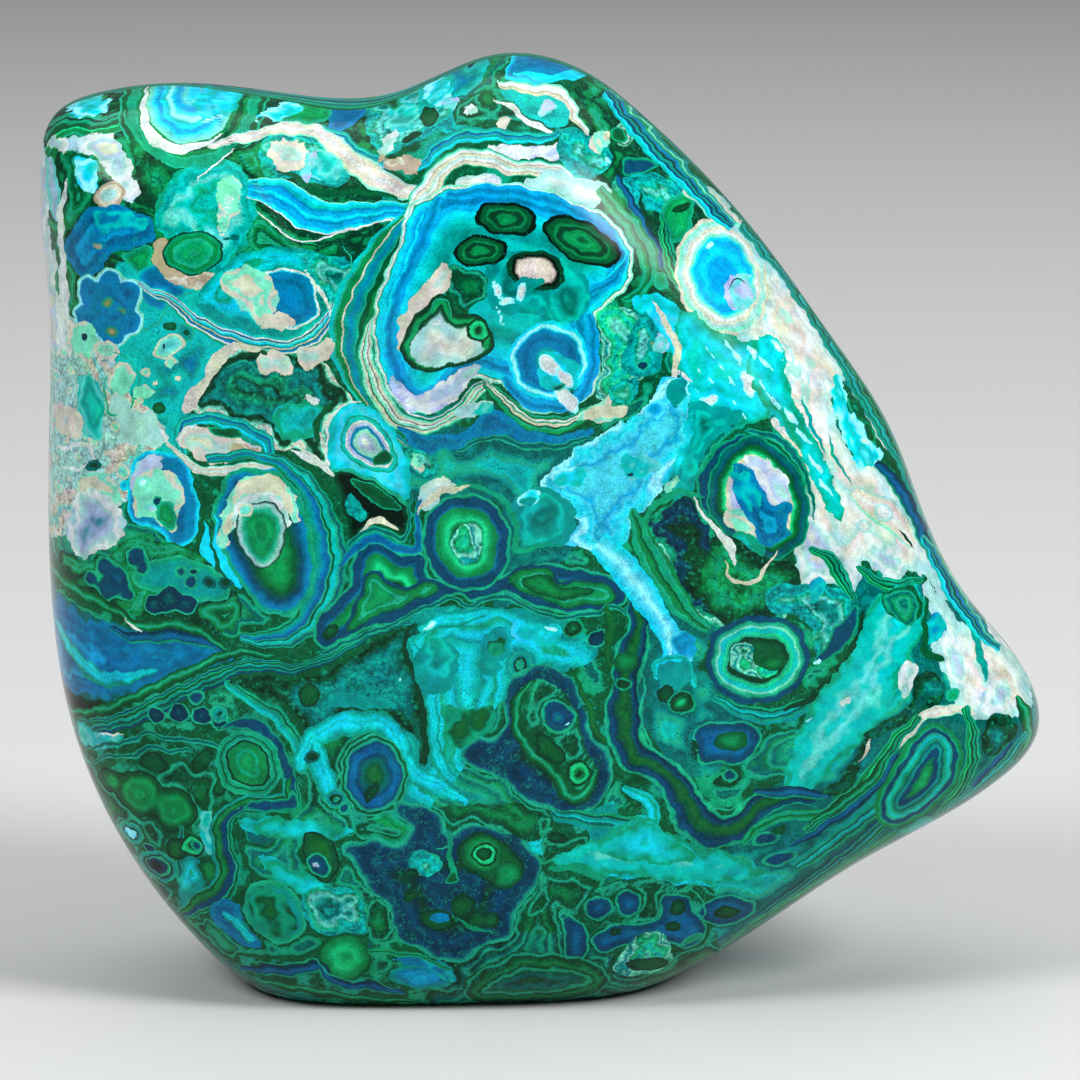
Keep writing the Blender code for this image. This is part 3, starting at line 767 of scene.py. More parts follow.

# Painted highlight: these white spots low right in the blue spiral eye paint the softbox's reflection on
# its dome.
# Painted highlight: this blush cloud along the bowl's left flank paints the left softbox's reflection
# there.
# The white heart, in heartRing's core and the white field over it, is pale mineral and also a painted
# highlight of the softbox on this bump.
bowlArea = grown("""
flow stripes -15.8,95,1.2 -17.8,91.4,2.6 -19.8,87.6,3.2 -21.2,84,3.4 -21.7,80.4,3 -21.2,77.4,2.2
    -20,74.6,1.6 -18.2,71.6,1.1 -16.4,69.8,.7 -14.2,67.9,.3
flow mintStripes -19.6,84,.3 -20.4,81,1 -20,78,1.4 -19,75.4,1.7 -17.2,72.6,1.7 -14.6,71.4,1.2 -12,71.8,1
    -9.8,73.2,.9 -8,75.4,.8 -6.4,76.6,.5
patch bowl -15.6,96.6 -17,92 -18.8,88 -19.8,84 -19.6,80 -18.4,76 -16.4,73.4 -13.6,72.7 -10.6,74.2 -8.4,76.8
    -5,76.2 -2.2,73.4 2,72.9 5.8,75.6 6.4,80 6.2,84.4 9,86.6 10.3,89.4 9.6,92.6 7,95.4 2,97.8 -3,99.2
    -8,99.2 -11.6,98.8 -14,97.4
flow blueLine -12.2,97.4,.6 -14,93,.9 -16,88.8,.8 -17.4,85,.7 -18,81,.6
flow cyanLine -14,95.8,.12 -15.4,91.6,.16 -17.2,87.6,.16 -18.4,83.4,.14 -18.4,79,.1
flow blueLine -11,97.8,.5 -7,98.4,.7 -2,98,.7 3,96.3,.7 7.2,93.6,.7 9,90.6,.6 8.2,88.2,.5 5.4,87,.4
flow cyanLine 2.8,88.2,.12 6.2,88.2,.16 9.2,90.4,.14 8.6,92.8,.1
patch lilacCloud -17.6,77.2 -15,74.9 -12,76.2 -9.4,78.4 -7.6,78 -9.6,75.4 -12.4,73.1 -15.4,73.2 -17.2,74.8
patch tealSoft -6.4,90.4 -3,91.6 1,91 4,88 5,85 3.4,83.6 1,83.8 -1,84.8 -4,84.4 -6.4,86
eye tealSoft 2.6,86.6,2.7,3
eye darkEye -4.4,95.3,3.7,1.85,-8 -7.4,91.7,3.1,1.8,4 4.3,92.6,4.9,2.25,-27
patch forestMix -10.9,90 -9,89.7 -6.9,89 -6.6,86.6 -8.3,85.4 -8.9,83.8 -10.4,83.8 -11.2,86.6
patch blushCloud -10.8,90.3 -12.5,89.4 -14.9,86.6 -16.6,83.4 -16.8,81 -16,79.8 -14.8,82.6 -12.4,85.5
    -11.2,87.4
patch heartRing -12.1,86.7 -11,86.4 -10.3,84.6 -8.6,84.6 -6.8,83.9 -5.8,81.6 -6.6,79.6 -9.4,78.6 -12.4,77.8
    -15.2,78 -16.5,80.2 -15.8,82.8 -13.8,85.3
patch whiteField -14.4,82.4 -12.6,83.2 -10.4,82.8 -8.6,82.4 -7,80.9 -8,79.5 -11,78.6 -14.4,78.6 -15.4,80
flow mintLine -13.4,84.9,.08 -12.4,86,.1 -11.2,86,.1 -10.8,84.2,.08
eye ringSpring -7.7,82.6,1.5,1.3,10
eye darkRing -1,89.4,3.4,2.3,-8
eye tealSoft -1.9,88,1.4,.9
eye whiteSpot -5.4,87.3,1.3,.4,-62 -4.2,85.9,1,.4,8 -2.6,87.2,1.2,.45,72 -5.1,84.2,1.3,.25,-65
eye spiralEye .5,79,4.7,4.6
flow blueLine 5.4,84,.5 5.7,79.5,.7 4.8,75.8,.6 2,73.6,.6 -2,74.2,.6 -4.6,76.8,.5
eye cyanSoft 1.6,77.6,2.6,2.2,-40
eye whiteSpot .5,78.5,1.5,1,-40 2.3,77,1.5,.7,-50 2.6,74.5,1.9,.85,-50
eye inkCell 1.7,76.1,.9,.45,10
flow bowlEdge -6.6,76.4,.4 -5.4,75,.8 -3.4,72.8,1.1 -.4,71.4,1.2 3,71.7,1 5.6,73.2,.6
""")

# Painted highlight: the lilac on the right half of the big oval paints the right softbox's reflection on
# its dome.
topRight = grown("""
patch tealDruse 2,105 6,104 8,101.6 5.6,99.4 2,101.2
eye creamPatch 6.4,103.5,1.2,1,30
eye cyanPatch 7.1,101.2,.5,.4
patch mossDruse 8.8,105.2 10.4,104.2 9.6,102.6 8.2,103
eye forestPatch 8.7,103.8,1,.8,-30
patch navyPatch 9.2,101.2 11.6,101.4 13.2,100.2 11.4,99.6 9.2,99.8
patch tealDruse 8,99.2 13,99.4 17.6,96.8 15.4,95.4 12,95.6 9.6,96.6
flow navyBand 8.6,99.4,.4 9.8,97,.45 11.4,94.4,.5 12.8,91.8,.5 13.6,89.4,.4
flow seaBands 6.4,98.2,.5 8.6,95.8,.8 10.8,93,1.1 12.2,90,1.1 11.6,87.2,.8 9.4,85.8,.4
flow pineLine 11.1,97.4,.12 11.5,95.6,.3 12.1,93.6,.1
patch greenPatch 13.9,96.2 15.4,97.2 17.2,96.8 17.3,94 16.2,92.4 14.2,91.6 13.6,94
eye mossDark 15.9,95.6,1.1,.5,5
flow greenBands 13.6,95,.3 14.1,92.4,.7 14.8,89.6,.9 16.6,86.6,.9 19.4,83.4,.9 23,81.2,.6
eye greenPatch 13.4,87.8,.8,1.1,20
patch cyanSoft 10.4,86.2 14,85.8 17,83.4 20.4,81.2 17.6,78.6 14.6,79.6 11.8,82.4
flow creamWide 16.6,97.2,.4 18.8,96.2,1.1 20.6,94.6,1 22.4,93,.8
eye bigOval 20.8,87.7,6.9,5.3,-63
eye lilacSoft 22.8,85.8,2.1,1.7,-60
flow pineLine 21.6,86.6,.05 22.6,87.3,.1 23.4,86.8,.05
eye whiteSpot 19.3,91.2,.6,.3
flow rimStripes 7.4,108.4,.7 10.6,104.8,1.1 14.6,100.6,1.1 18.6,96.4,.9 22,92.8,.6
patch springDruse 6,85.4 8.6,85 12,83.8 13,80.6 11.6,77 8.6,75.4 6.8,74.4 5.8,75.4 6.6,78.6 6.4,82
patch tealDruse 11.4,84.4 12.2,84 13.6,81 13.4,78 11.4,77 9,78 9.4,81
eye inkCell 11.2,78.4,.8,.5,-15
eye oliveSpot 12.6,80.7,.7,.6
eye lilacSoft 13.4,80.8,.7,1
patch turquoiseGlow 16,84.4 20.6,81.6 25.2,80.2 27,77.6 27,72.6 23,71 18.6,72.8 16.4,74 15.4,79
flow creamLine 12.6,85.2,.1 13.8,83.4,.25 15,81.4,.4 15.4,79.2,.4 14.8,76.8,.3
flow whiteLine 16.6,76.4,.15 15.7,77.4,.15 16.3,76.4,.2
""")

# The white and grey fields on this shoulder are pale mineral and also painted reflection of the right
# softbox along the rounded edge.
# These lower white and grey fields also paint the right softbox's reflection, over pale mineral.
rightShoulder = grown("""
patch whiteField 23.4,93.6 26.4,90.4 29,87 32,82.4 34.6,77.6 35.6,74.8 34.2,74.4 33.9,71.6 35.6,67.4
    38.4,65.2 40.2,64.6 42.4,61.6 44.6,57.2 47.6,51.6 49.2,48 47.6,48.6 46.4,50.2 44.6,51.8 43,52.6
    41.6,51.9 39,53.3 37.4,54.4 36.2,51.2 33,52.6 30.2,52 29.2,54 29.8,58 30.6,62 30.4,66 28.8,70 27,72.8
    27.4,76 27.2,80 24.6,80.6 22.4,81.2 25.4,83.6 25.6,87 24.6,90.4
patch greyField 30,60.6 32.4,59 34.6,56.4 36.6,54.6 36,51.8 33,53 30.4,52.4 29.6,55.4
patch greyField 37.4,58 39.4,56 41.6,55.6 42.2,53.2 41,52.4 38.6,54.2
flow greenBands 31.2,56.6,.4 33.2,55.2,.7 34.8,52.8,.8 36,50.6,.6
eye mistPatch 29.9,76.4,1.7,1.2,-20
eye greyField 31.6,80.2,1.6,.5,-60
eye whiteSpot 28.2,78.6,1.3,.7,-50 27.8,75.9,.9,.6,-60 23.7,75.7,1.7,.75,-68 19,74.2,1.1,.5
flow creamLine 25.9,88,.12 26.2,85,.2 25,82.4,.15
patch cyanPatch 34.1,75 35.2,74.8 35.7,71.6 37.1,70 38.5,67.7 40,66 38.6,65 36.2,65.9 35.2,68.8 34.1,71.6
eye whiteSpot 37.9,67.9,.8,.3,-30
patch azurePatch 35.2,76 36.4,75.4 37.8,73.4 37,74.2 35.6,75.6
eye whitePatch 37.2,73,1.9,.55,-58
flow whiteLine 38,71.2,.25 39.4,69,.45 40.4,66.6,.15
flow navyBand 39.4,65,.5 41.4,62.6,.7 43.6,59.2,.7 45.6,55,.8 47.4,51.6,.7 49.4,47.8,.4
flow creamWide 36.4,62.6,.6 38.4,60.8,1.4 41,59,1.4 43.6,55.6,.8
eye whitePatch 39.9,59.6,1.4,.8,-35 37.6,58.4,1.2,.6,-30
flow pineLine 42.2,57.2,.08 43,56.2,.22 43.6,55,.08
flow tealLine 27.6,69.9,.06 29.6,67.9,.14 32,65.7,.08
flow creamFlow 26.8,71.4,.5 28.8,69.3,.8 30.8,67.2,.8 33,65,.4
patch turquoiseGlow 24.6,80.4 26.8,80.6 28,78.6 28.4,75.6 29.4,73 30.6,70.4 32.4,67 34,63.4 34.8,60
    33.4,60.6 31.6,64 29.4,68 27.4,71.4 25,74 23.8,77.4
eye whiteSpot 19.2,79.6,.9,.22,-52 21.2,80.2,.7,.2,-52 20.4,78,.8,.18,-52 22.4,78.6,1.1,.25,-52
    24.2,79.2,.9,.3,-52 19.4,76.4,.6,.18,-52 21.6,76.2,.7,.2,-52 25.8,77.8,1.2,.3,-52 22,73.6,.7,.2,-52
    25.4,75.4,.9,.22,-52 26.6,73.6,1.3,.3,-52 23.2,72.2,.6,.2,-52 28.6,71.8,1.6,.3,-52 30.2,69.4,1.3,.25,-52
    31.6,66.2,1.6,.3,-52 32.8,63.4,1.3,.25,-52 18,75.2,.5,.2,-52 17.8,77.6,.6,.2,-52 27.2,79.4,1,.35,-52
flow tealLine 30.2,73.4,.1 31.2,70.6,.25 32.8,67.6,.12
flow tealLine 33.2,69,.08 34.2,66.4,.2 35.8,63.8,.08
flow tealBands 23.4,92.4,.4 27,88.4,.5 30.6,83.6,.6 34.2,78.2,.6 37,73.6,.6 39.8,68.8,.6 42.6,64,.6
    45.4,58.6,.7 47.8,53.6,.7 50.4,49.2,.6
patch whiteField 45.2,51 47,49 48.6,46.6 50.4,44.6 53.4,43.4 56.4,40.6 58.2,37.6 58.6,35.2 56,34.6 53.6,34.8
    51,35.2 48.6,36.4 48.6,38.6 47.2,41 45.9,43.6 46.6,46.4 45.2,48.6
patch greyField 52.6,38.4 55,38.8 55.4,36.2 53.4,35.2 51.6,36.6
patch greyField 47.6,44.6 49.6,43.6 50,40.6 48.8,39.6 47.4,42
flow tealLine 50.4,46.8,.12 51.3,44,.35 52,41.4,.5 52.5,39.4,.25
flow rimStripes 45.2,55.6,.4 47.8,51,1 50,47,1 52.6,43.6,.6 54.6,41.6,.2
flow whiteLine 50.8,49.4,.1 52.6,46.2,.4 54.6,43,.6 56.8,40.4,.4
flow greenBands 36.6,53.8,.3 38.8,52.3,.7 41.4,51.2,.8 44.4,51.2,.4
""")

# Painted highlight: the lilac cloud in the upper right of the nodule paints the right softbox's reflection
# on this bump.
# Painted reflection: this grey field paints part of the right softbox's glare along the right edge.
rightEye = grown("""
patch navyPatch 22.6,70.2 20.2,68.8 18.2,66.4 17.7,63.6 18.6,61.2 20.2,60.4 20.6,64 22,67 24.4,69
patch nodule 23.2,69.8 26.2,69.2 29.2,66.2 30.8,62.4 30.4,58 27.6,55.6 24,56 21.4,58.2 19.3,60.6 18.9,64
    20.4,67.8
patch lilacCloud 23.4,67.8 26.4,66.6 28.4,64 28.4,62.4 26.6,62 25.4,63.6 24.2,66
patch blueMix 21.9,66.8 23.6,66.4 25.3,64 26.4,62 28.2,62.2 28.8,61 28.1,59.4 28.6,58.4 27,57.3 25,57.5
    23.8,60.2 22.4,62.2 21.9,64.5
eye azureSoft 23.5,63.6,2.6,1.2,-60
patch mintPatch 21,61.2 22.6,61.4 23.8,60 24.4,58.4 22.6,58.6 21,60
patch turquoiseSpray 21.6,58.6 24,58.4 25.4,56.8 24.6,54 22.8,53 21.4,55.6
flow doubleLine 24,70.2,.3 26.8,69.6,.4 29.4,67,.4 31,63.4,.3 31.5,60.2,.1
patch navyDruse 11.9,59.5 14,61.8 15.6,62.9 17.6,62.6 18.8,60.4 20,58.2 21.4,55.6 22.4,52 24.6,50.4
    27.6,51.8 29.2,50 26.6,47.8 22,47.4 18.6,48.2 15.6,51.4 14.8,55
patch emeraldDruse 19.4,57.6 21.4,58.6 25,56 28.6,55 30,52.6 28.4,50 25,48.2 21.4,47.8 19,49.6 18.2,53
flow seaBands 10.4,61.4,.5 11.2,58.6,1.1 12.6,55.6,1.5 14.4,52.6,1.4 16.4,49.6,1.1 19,47.4,.5
flow seaLine 11.4,60.2,.3 13.6,62.6,.4 16,63.6,.35 18.2,63,.2
flow whiteLine 17.4,62.8,.12 18.2,61.4,.2 19.4,59.6,.2 20.6,58.4,.35 21.7,57.2,.6 22,55.4,.2
flow creamLine 21.1,55,.08 21.6,53.6,.16 23.2,52.7,.22 24.8,53.2,.22 26,55,.16 26.8,56.4,.08
patch tealDruse 26,52 29,52.6 33,52.2 35.6,50.6 35.4,46.6 32,43.4 31.4,46.4 29.8,48.6 26.4,49.4
eye azureSoft 31.7,51.8,.9,1.2,-20
patch navyPatch 36.2,49.8 36.9,48.2 36.1,46 34.3,44 32,42.6 31.4,43.6 33.2,45.4 33.8,47.4 35.2,48.2
eye whiteSpot 32,43.2,.5,.35
patch turquoiseRing 18.9,43.4 19.7,46.8 22.6,48.6 26.4,48.8 29.6,47.4 30.9,44.4 30.2,41 27.6,39 24.2,38.4
    21.2,39.6 19.5,41
patch springDruse 22.2,45.6 24.2,45.4 24.4,43.2 27.4,42.6 26.6,41.6 23.6,41.9 21.6,43.4
eye emeraldGlow 26.8,43.2,1.5,.9,-5
flow tealBands 20,39.2,.5 24,37.2,.9 28,37,1 31,38.4,.7
flow pineLine 37.4,48.6,.2 36.6,45.6,.4 34.2,41.8,.45 30.9,38.7,.4 28.2,37.6,.2
patch seaGlow 42.6,51.2 44.4,50 45,47 43.4,43.6 42,40.6 40.4,37.2 37.4,33.6 33.4,29.6 30.6,27.6 28.2,28
    28.6,31.4 29.8,35 31.4,38.2 34,41.6 36.4,45 37.8,48.6 40,50.8
patch seaMix 39.6,50.6 43.4,50.8 44.6,48 43,46.6 41,47.6
patch greyField 42.2,42.4 43.8,42 43.4,40 42.4,38.2 41.6,39.6
eye mistPatch 35.6,38.4,.8,.35,40
eye whiteSpot 30.6,36.2,.9,.25,30
patch slateDruse 43.6,40.6 45,41.2 46.6,40.4 47.2,38.6 46.4,37.1 44.4,36.2 42.4,35.2 40.4,34.4 38.2,33.6
    37.6,34.4 40.4,35.9 42.8,37.4 43.3,39
eye azureSoft 46.1,45.8,1.6,1.2,30
flow forestLine 45.2,49,.2 44.9,46,.35 45,43.4,.5 46.8,42.2,.3
eye greenPatch 48.1,38.3,.9,.7,30
flow creamWide 41.4,32.4,.3 43.2,34.2,.4 44.2,35.8,.5 46.4,36.5,.6 49,36.6,.6 50.8,35.8,.3
""")

# Painted reflection: this small white field paints the pale glare on the lower wall of the bowl.
middle = grown("""
patch cyanMosaic 14.2,76.9 16.4,76.1 16.8,72.2 16.5,69.4 15.2,67 14.2,65.4 12.9,63.2 11.4,61.4 10.1,60.4
    9.6,58.4 8,56.2 5,56.8 2.4,57.9 3.8,59.6 3,61.6 1,63.2 -.5,64.1 .2,65.6 3,67.9 6,69.9 9,71.7 11.6,73.4
    13.1,75.6
patch turquoisePatch 9,67.6 11.6,68 13.2,66.4 11,65.2 9.2,65.8
eye inkCore 11.1,66.3,.5,.25,-30 10,65.8,.4,.25,20
eye brightPatch 13,73,1.4,.9,50
eye cyanPatch 2.8,65.4,2,1.2
patch tealSoft 16.8,74 19.6,73.2 21,71.6 19.4,69.4 18,67 17.2,64 15.6,62.6 14,63.4 15,66 16.6,69.6
patch cyanSoft 14.4,64.6 16,67 17,70 17.4,73.4 16.6,72 15.8,68.6 14,65.4
eye creamPatch 14.8,64.4,1,.5,60
eye tealSoft 15.3,75.2,1.5,1.1,80 20.8,71.8,1.8,1.2,15
patch creamPatch 3.6,72.2 5.4,73.4 7.4,75 8.5,75.2 7.6,73.7 9.6,73.4 8.6,72.3 6.4,71.9
patch tealDruse 7.4,75.2 9.4,77 11,76.4 10.4,74.6 8.4,73.9
patch blueMix -17.2,71.4 -14,70.3 -10,70.6 -8,71.8 -6,73.5 -4.4,72.8 -2,71 2,70.4 5.6,71.2 4.4,69.9 0,69.2
    -2.2,69.6 -4.5,70.2 -6.6,70.3 -8.5,69.7 -10,68.6 -12,68.6 -13.6,67.7 -15.3,68.7 -16.2,70
patch whiteField -9.8,73.8 -8,73.9 -6,74.3 -6.6,73.2 -8.4,72.4 -10.2,72.8
eye turquoisePatch -6.8,73.3,1.1,.6,20
flow doubleLine -10,68.4,.2 -8.2,69.3,.3 -6,70.1,.3 -3.6,69.4,.4 -1,69,.45 2,69.1,.35 5.4,70.2,.2
eye tealSoft -.2,60.6,3.9,3.4,-15
eye cyanPatch -2,62.9,1.2,.9,30
eye tealSoft -2,62.6,.8,.6,30
patch whiteField -14.6,61.8 -14.2,64.2 -12.2,65.2 -10.6,64.8 -10,63.9 -12,63.2 -13.4,61.4
patch tealDruse -16,68.6 -13.6,68.2 -12.4,66.8 -13.6,65.4 -15.6,66.2
eye mintPatch -14.7,66.6,.6,.9,20
# the small ringed eye and its cyan bed
patch cyanSoft -21.9,74.2 -23.8,73.4 -24.9,71.9 -25.3,69.4 -25,66.3 -22.4,65.8 -19.4,64.4 -16.6,62.6
    -15.6,64 -16,67.4 -17.4,70.6 -19.6,73
flow whiteLine -21.6,74.2,.1 -23.6,73.5,.22 -24.9,71.9,.22 -25.3,69.6,.18 -25.1,67,.14
patch lilacEye -23.5,70.6 -22.3,72.2 -20.2,72.5 -18.4,70.7 -17.2,68.5 -17.1,66.8 -18.4,65.7 -20.5,66.2
    -22.6,67.2 -23.4,68.6
patch forestPatch -19.6,66.6 -17.9,66.8 -17.6,68 -18.6,68.4 -19.8,67.4
# the dark triangle
patch pinePatch -24.2,65.7 -22,65.9 -20,65.1 -18,63.7 -16.1,62.1 -15.9,60.2 -16.1,58.2 -17.4,59.3 -19.4,60.2
    -21,59.4 -22.3,57.9 -23.2,61 -23.8,63.6
patch forestPatch -22.6,65.2 -20,64.5 -17.6,62.9 -16.5,61.6 -18.6,61.4 -20.6,62.8
patch tealDruse -22.9,63.4 -21.6,62.4 -20.4,60.8 -21.6,60.2 -22.8,61
flow creamLine -21.6,58.6,.1 -20.6,59.7,.3 -19.2,60.2,.4 -17.2,59.4,.15
flow mintLine -25,66.2,.12 -22.4,65.9,.2 -20,64.9,.16 -18,63.8,.24 -16.3,62.4,.24
""")

leftSide = grown("""
flow greenBands -60.2,98,.3 -60.1,84,.3 -60.1,70,.3 -60.1,58,.5 -59.8,53,.6
patch mintPatch -54.8,82.4 -53,82.6 -51.9,81.2 -52.4,79.2 -54,78.8 -56,80
eye inkCore -53.4,80.9,.35,.5
eye mintRing -56.4,78.6,.6,.54 -55.2,76.6,.5,.45 -57.4,75.4,.7,.63 -55.8,74.2,.4,.36 -53,77.6,.5,.45
    -51,78.2,.4,.36 -58,70,.6,.54 -56,68.4,.4,.36 -54.6,66.8,.5,.45 -52.6,68.8,.6,.54 -50.8,67.8,.45,.405
    -57.8,65.6,.5,.45 -57.2,62.4,.7,.63 -55.8,63.8,.4,.36 -47.4,71,.5,.45 -46.8,74,.5,.45 -49.8,70.8,.6,.54
    -46.2,77.4,.6,.54 -44.8,76.4,.4,.36 -42.4,76.8,.4,.36 -45,70,.5,.45
eye mintTan -50.8,79.8,1.8,1,-10
patch turquoisePatch -54.2,76.4 -51.6,75.6 -51.2,72 -51.6,69.6 -53.4,69.4 -54.4,72.4
patch blushCloud -57.8,71.8 -55.6,72.4 -53.8,71.2 -54.6,69 -57.4,69.2
eye mintPatch -49,76.4,1.9,1.3,80
eye mistPatch -49.3,73.2,1.5,1.2,80
flow mintLine -50.9,76.6,.1 -51,74,.11 -50.2,72.2,.13 -48.6,72.6,.13 -47.6,74.2,.11 -46.9,77,.11 -48,79,.1
    -49.6,79.4,.08
patch mistPatch -49.4,72 -48.2,73 -46.9,72.3 -45.5,73 -44.5,71.4 -43.7,69.4 -46,68.8 -48.6,69.2
flow whiteLine -57.6,67,.15 -55.8,67.6,.25 -54.2,68.4,.25 -53,68.1,.25 -52.4,66.7,.15
flow whiteLine -56.6,65,.1 -54.8,65.2,.2 -53.4,66,.12
eye dotDark -52.6,66,1,.6,30
eye whiteSpot -51.8,65.6,.5,.35,20 -51.4,66.6,.4,.3
patch creamPatch -54.4,64.2 -51.4,65.4 -50,64 -49.4,61.6 -51.4,62.8 -54,62.8
eye mintRing -49.1,65.7,.9,.8
eye azurePatch -48.6,64.2,.8,.6,60
eye ringEye -41.2,82.3,1.1,1
eye mintRing -43.3,80.6,2,1.2,32
eye inkCore -43.8,80.5,.4,.3,30
eye mintPatch -43,78.7,.7,.6 -46.3,75.1,1.1,.8,-10
eye emeraldGlow -44.6,73.4,.9,.7 -43.2,82.8,.9,.6
patch lilacPatch -54.8,62.3 -53.6,62.9 -52.2,63.3 -50.7,62.3 -49.3,61.2 -48.7,60 -49.3,59 -48.9,57.8
    -50.2,57 -51.6,56.4 -53,55.4 -54.6,55.1 -55.9,56.2 -56.5,58.2 -55.6,59.4 -55.2,61
patch azurePatch -48.3,65.5 -47.6,67.2 -45.8,68.3 -43.4,68.1 -41.4,66.7 -40.5,64.2 -40,61.8 -40.2,59.2
    -41.4,57.5 -43.2,57.2 -44.3,58.5 -45.3,59.3 -47.2,59.5 -48.5,61.3 -48.4,63.5
patch lilacSoft -48,65.4 -46.6,67.2 -44.4,67.7 -44.6,66.2 -46.6,64.6 -47.8,63.4
patch mintPatch -47.8,63 -46.9,65.3 -45,66.3 -43,65.7 -41.9,63.9 -42.2,61.2 -43.2,58.9 -44.4,59.6 -45.4,60.4
    -47.3,60.6
patch greenPatch -44.6,62.4 -43.2,62.4 -42.6,60.6 -43.3,58.9 -44.4,59.6 -45,61
eye whiteSpot -46.6,64.5,.5,.5
eye inkCell -45,62.5,.6,.7
eye lilacSoft -45.4,61.6,.6,.4
flow cyanLine -39.6,60.4,.3 -39.4,58,.6 -39,55.8,.6 -38.4,53.6,.2
flow forestLine -40,65.8,.1 -39.4,62,.25 -39.9,58.6,.3 -40.6,56,.15
# the speckled dark bed with its pale lobes
patch pineDruse -41.6,73.2 -41.2,74.9 -39.9,76 -38.4,79 -36.3,80.8 -33.5,80.6 -31,80 -28,79.4 -25.4,78.8
    -23.9,76.4 -22.2,74.3 -24,73.2 -25,71.8 -25.4,69.4 -25.3,66.8 -27,67.4 -28.6,68.8 -30,68.4 -32,68.6
    -33,70 -35.5,71.8 -39,72.4
patch creamBare -41.9,74 -40.9,75.6 -39.6,76.6 -38.6,79 -36.2,80.9 -33,80.6 -33,80 -35.6,80 -37.6,78
    -39,75.6 -40.6,73.4 -41.6,72.6
patch blushCloud -32.9,79.6 -31.2,80 -29.9,79.6 -29.1,78.5 -29.5,77.4 -31.2,77.5 -32.9,77.8
patch blushCloud -28.4,80.1 -26.4,80.7 -25.3,81.6 -24.3,81.4 -24.5,80 -25.6,78.8 -26.2,78.2 -27.5,77.8
    -28.3,78.7
patch turquoiseSpray -31,73 -28,74 -25.6,73.4 -26,70.6 -28.6,69.6 -31,70.4
eye mistPatch -26.8,74.3,.8,.4,-20
flow forestLine -26.4,69.6,.3 -26.2,71.6,.4 -25.2,73.6,.3
flow mintLine -36.6,78.4,.08 -34.6,78.9,.11 -33.2,78,.08
flow cyanDark -41.6,68.2,.4 -42.3,70.4,.7 -40.6,72.1,.7 -37.2,72,.8 -34.2,70.9,.8 -32,69.3,.7 -31.8,67.8,.5
    -33,66.6,.3
patch blushCloud -42.3,70.2 -41,71.3 -38.5,71 -36,70.2 -34,69.2 -32.9,68.5 -33.8,67.7 -36,67.4 -38,66.8
    -39.5,67.2 -41,68.6 -42,69.2
flow whiteLine -42.1,69.2,.12 -42.2,70.4,.22 -41,71.3,.2 -39.6,71,.1
patch tanPatch -36.4,69 -34.6,69.1 -33.1,68.5 -34,67.8 -35.6,67.9
patch forestPatch -39.2,71 -36.8,71.2 -34.8,70.4 -35.6,69.8 -37.8,70.2
flow creamFlow -43.6,69.2,.2 -41.8,67.6,.5 -39.4,66,.6 -36,66.4,.6 -33,66.6,.5 -30.8,66.4,.5 -28.4,65.2,.5
    -27.2,63.6,.4 -27,61.4,.2
flow whiteLine -29,68.4,.15 -27.6,67.8,.5 -26,66.8,.5 -24.6,65.7,.2
flow blueLine -33.4,66,.4 -30.6,65.7,.5 -28.4,64.2,.5 -27.6,62,.3
""")

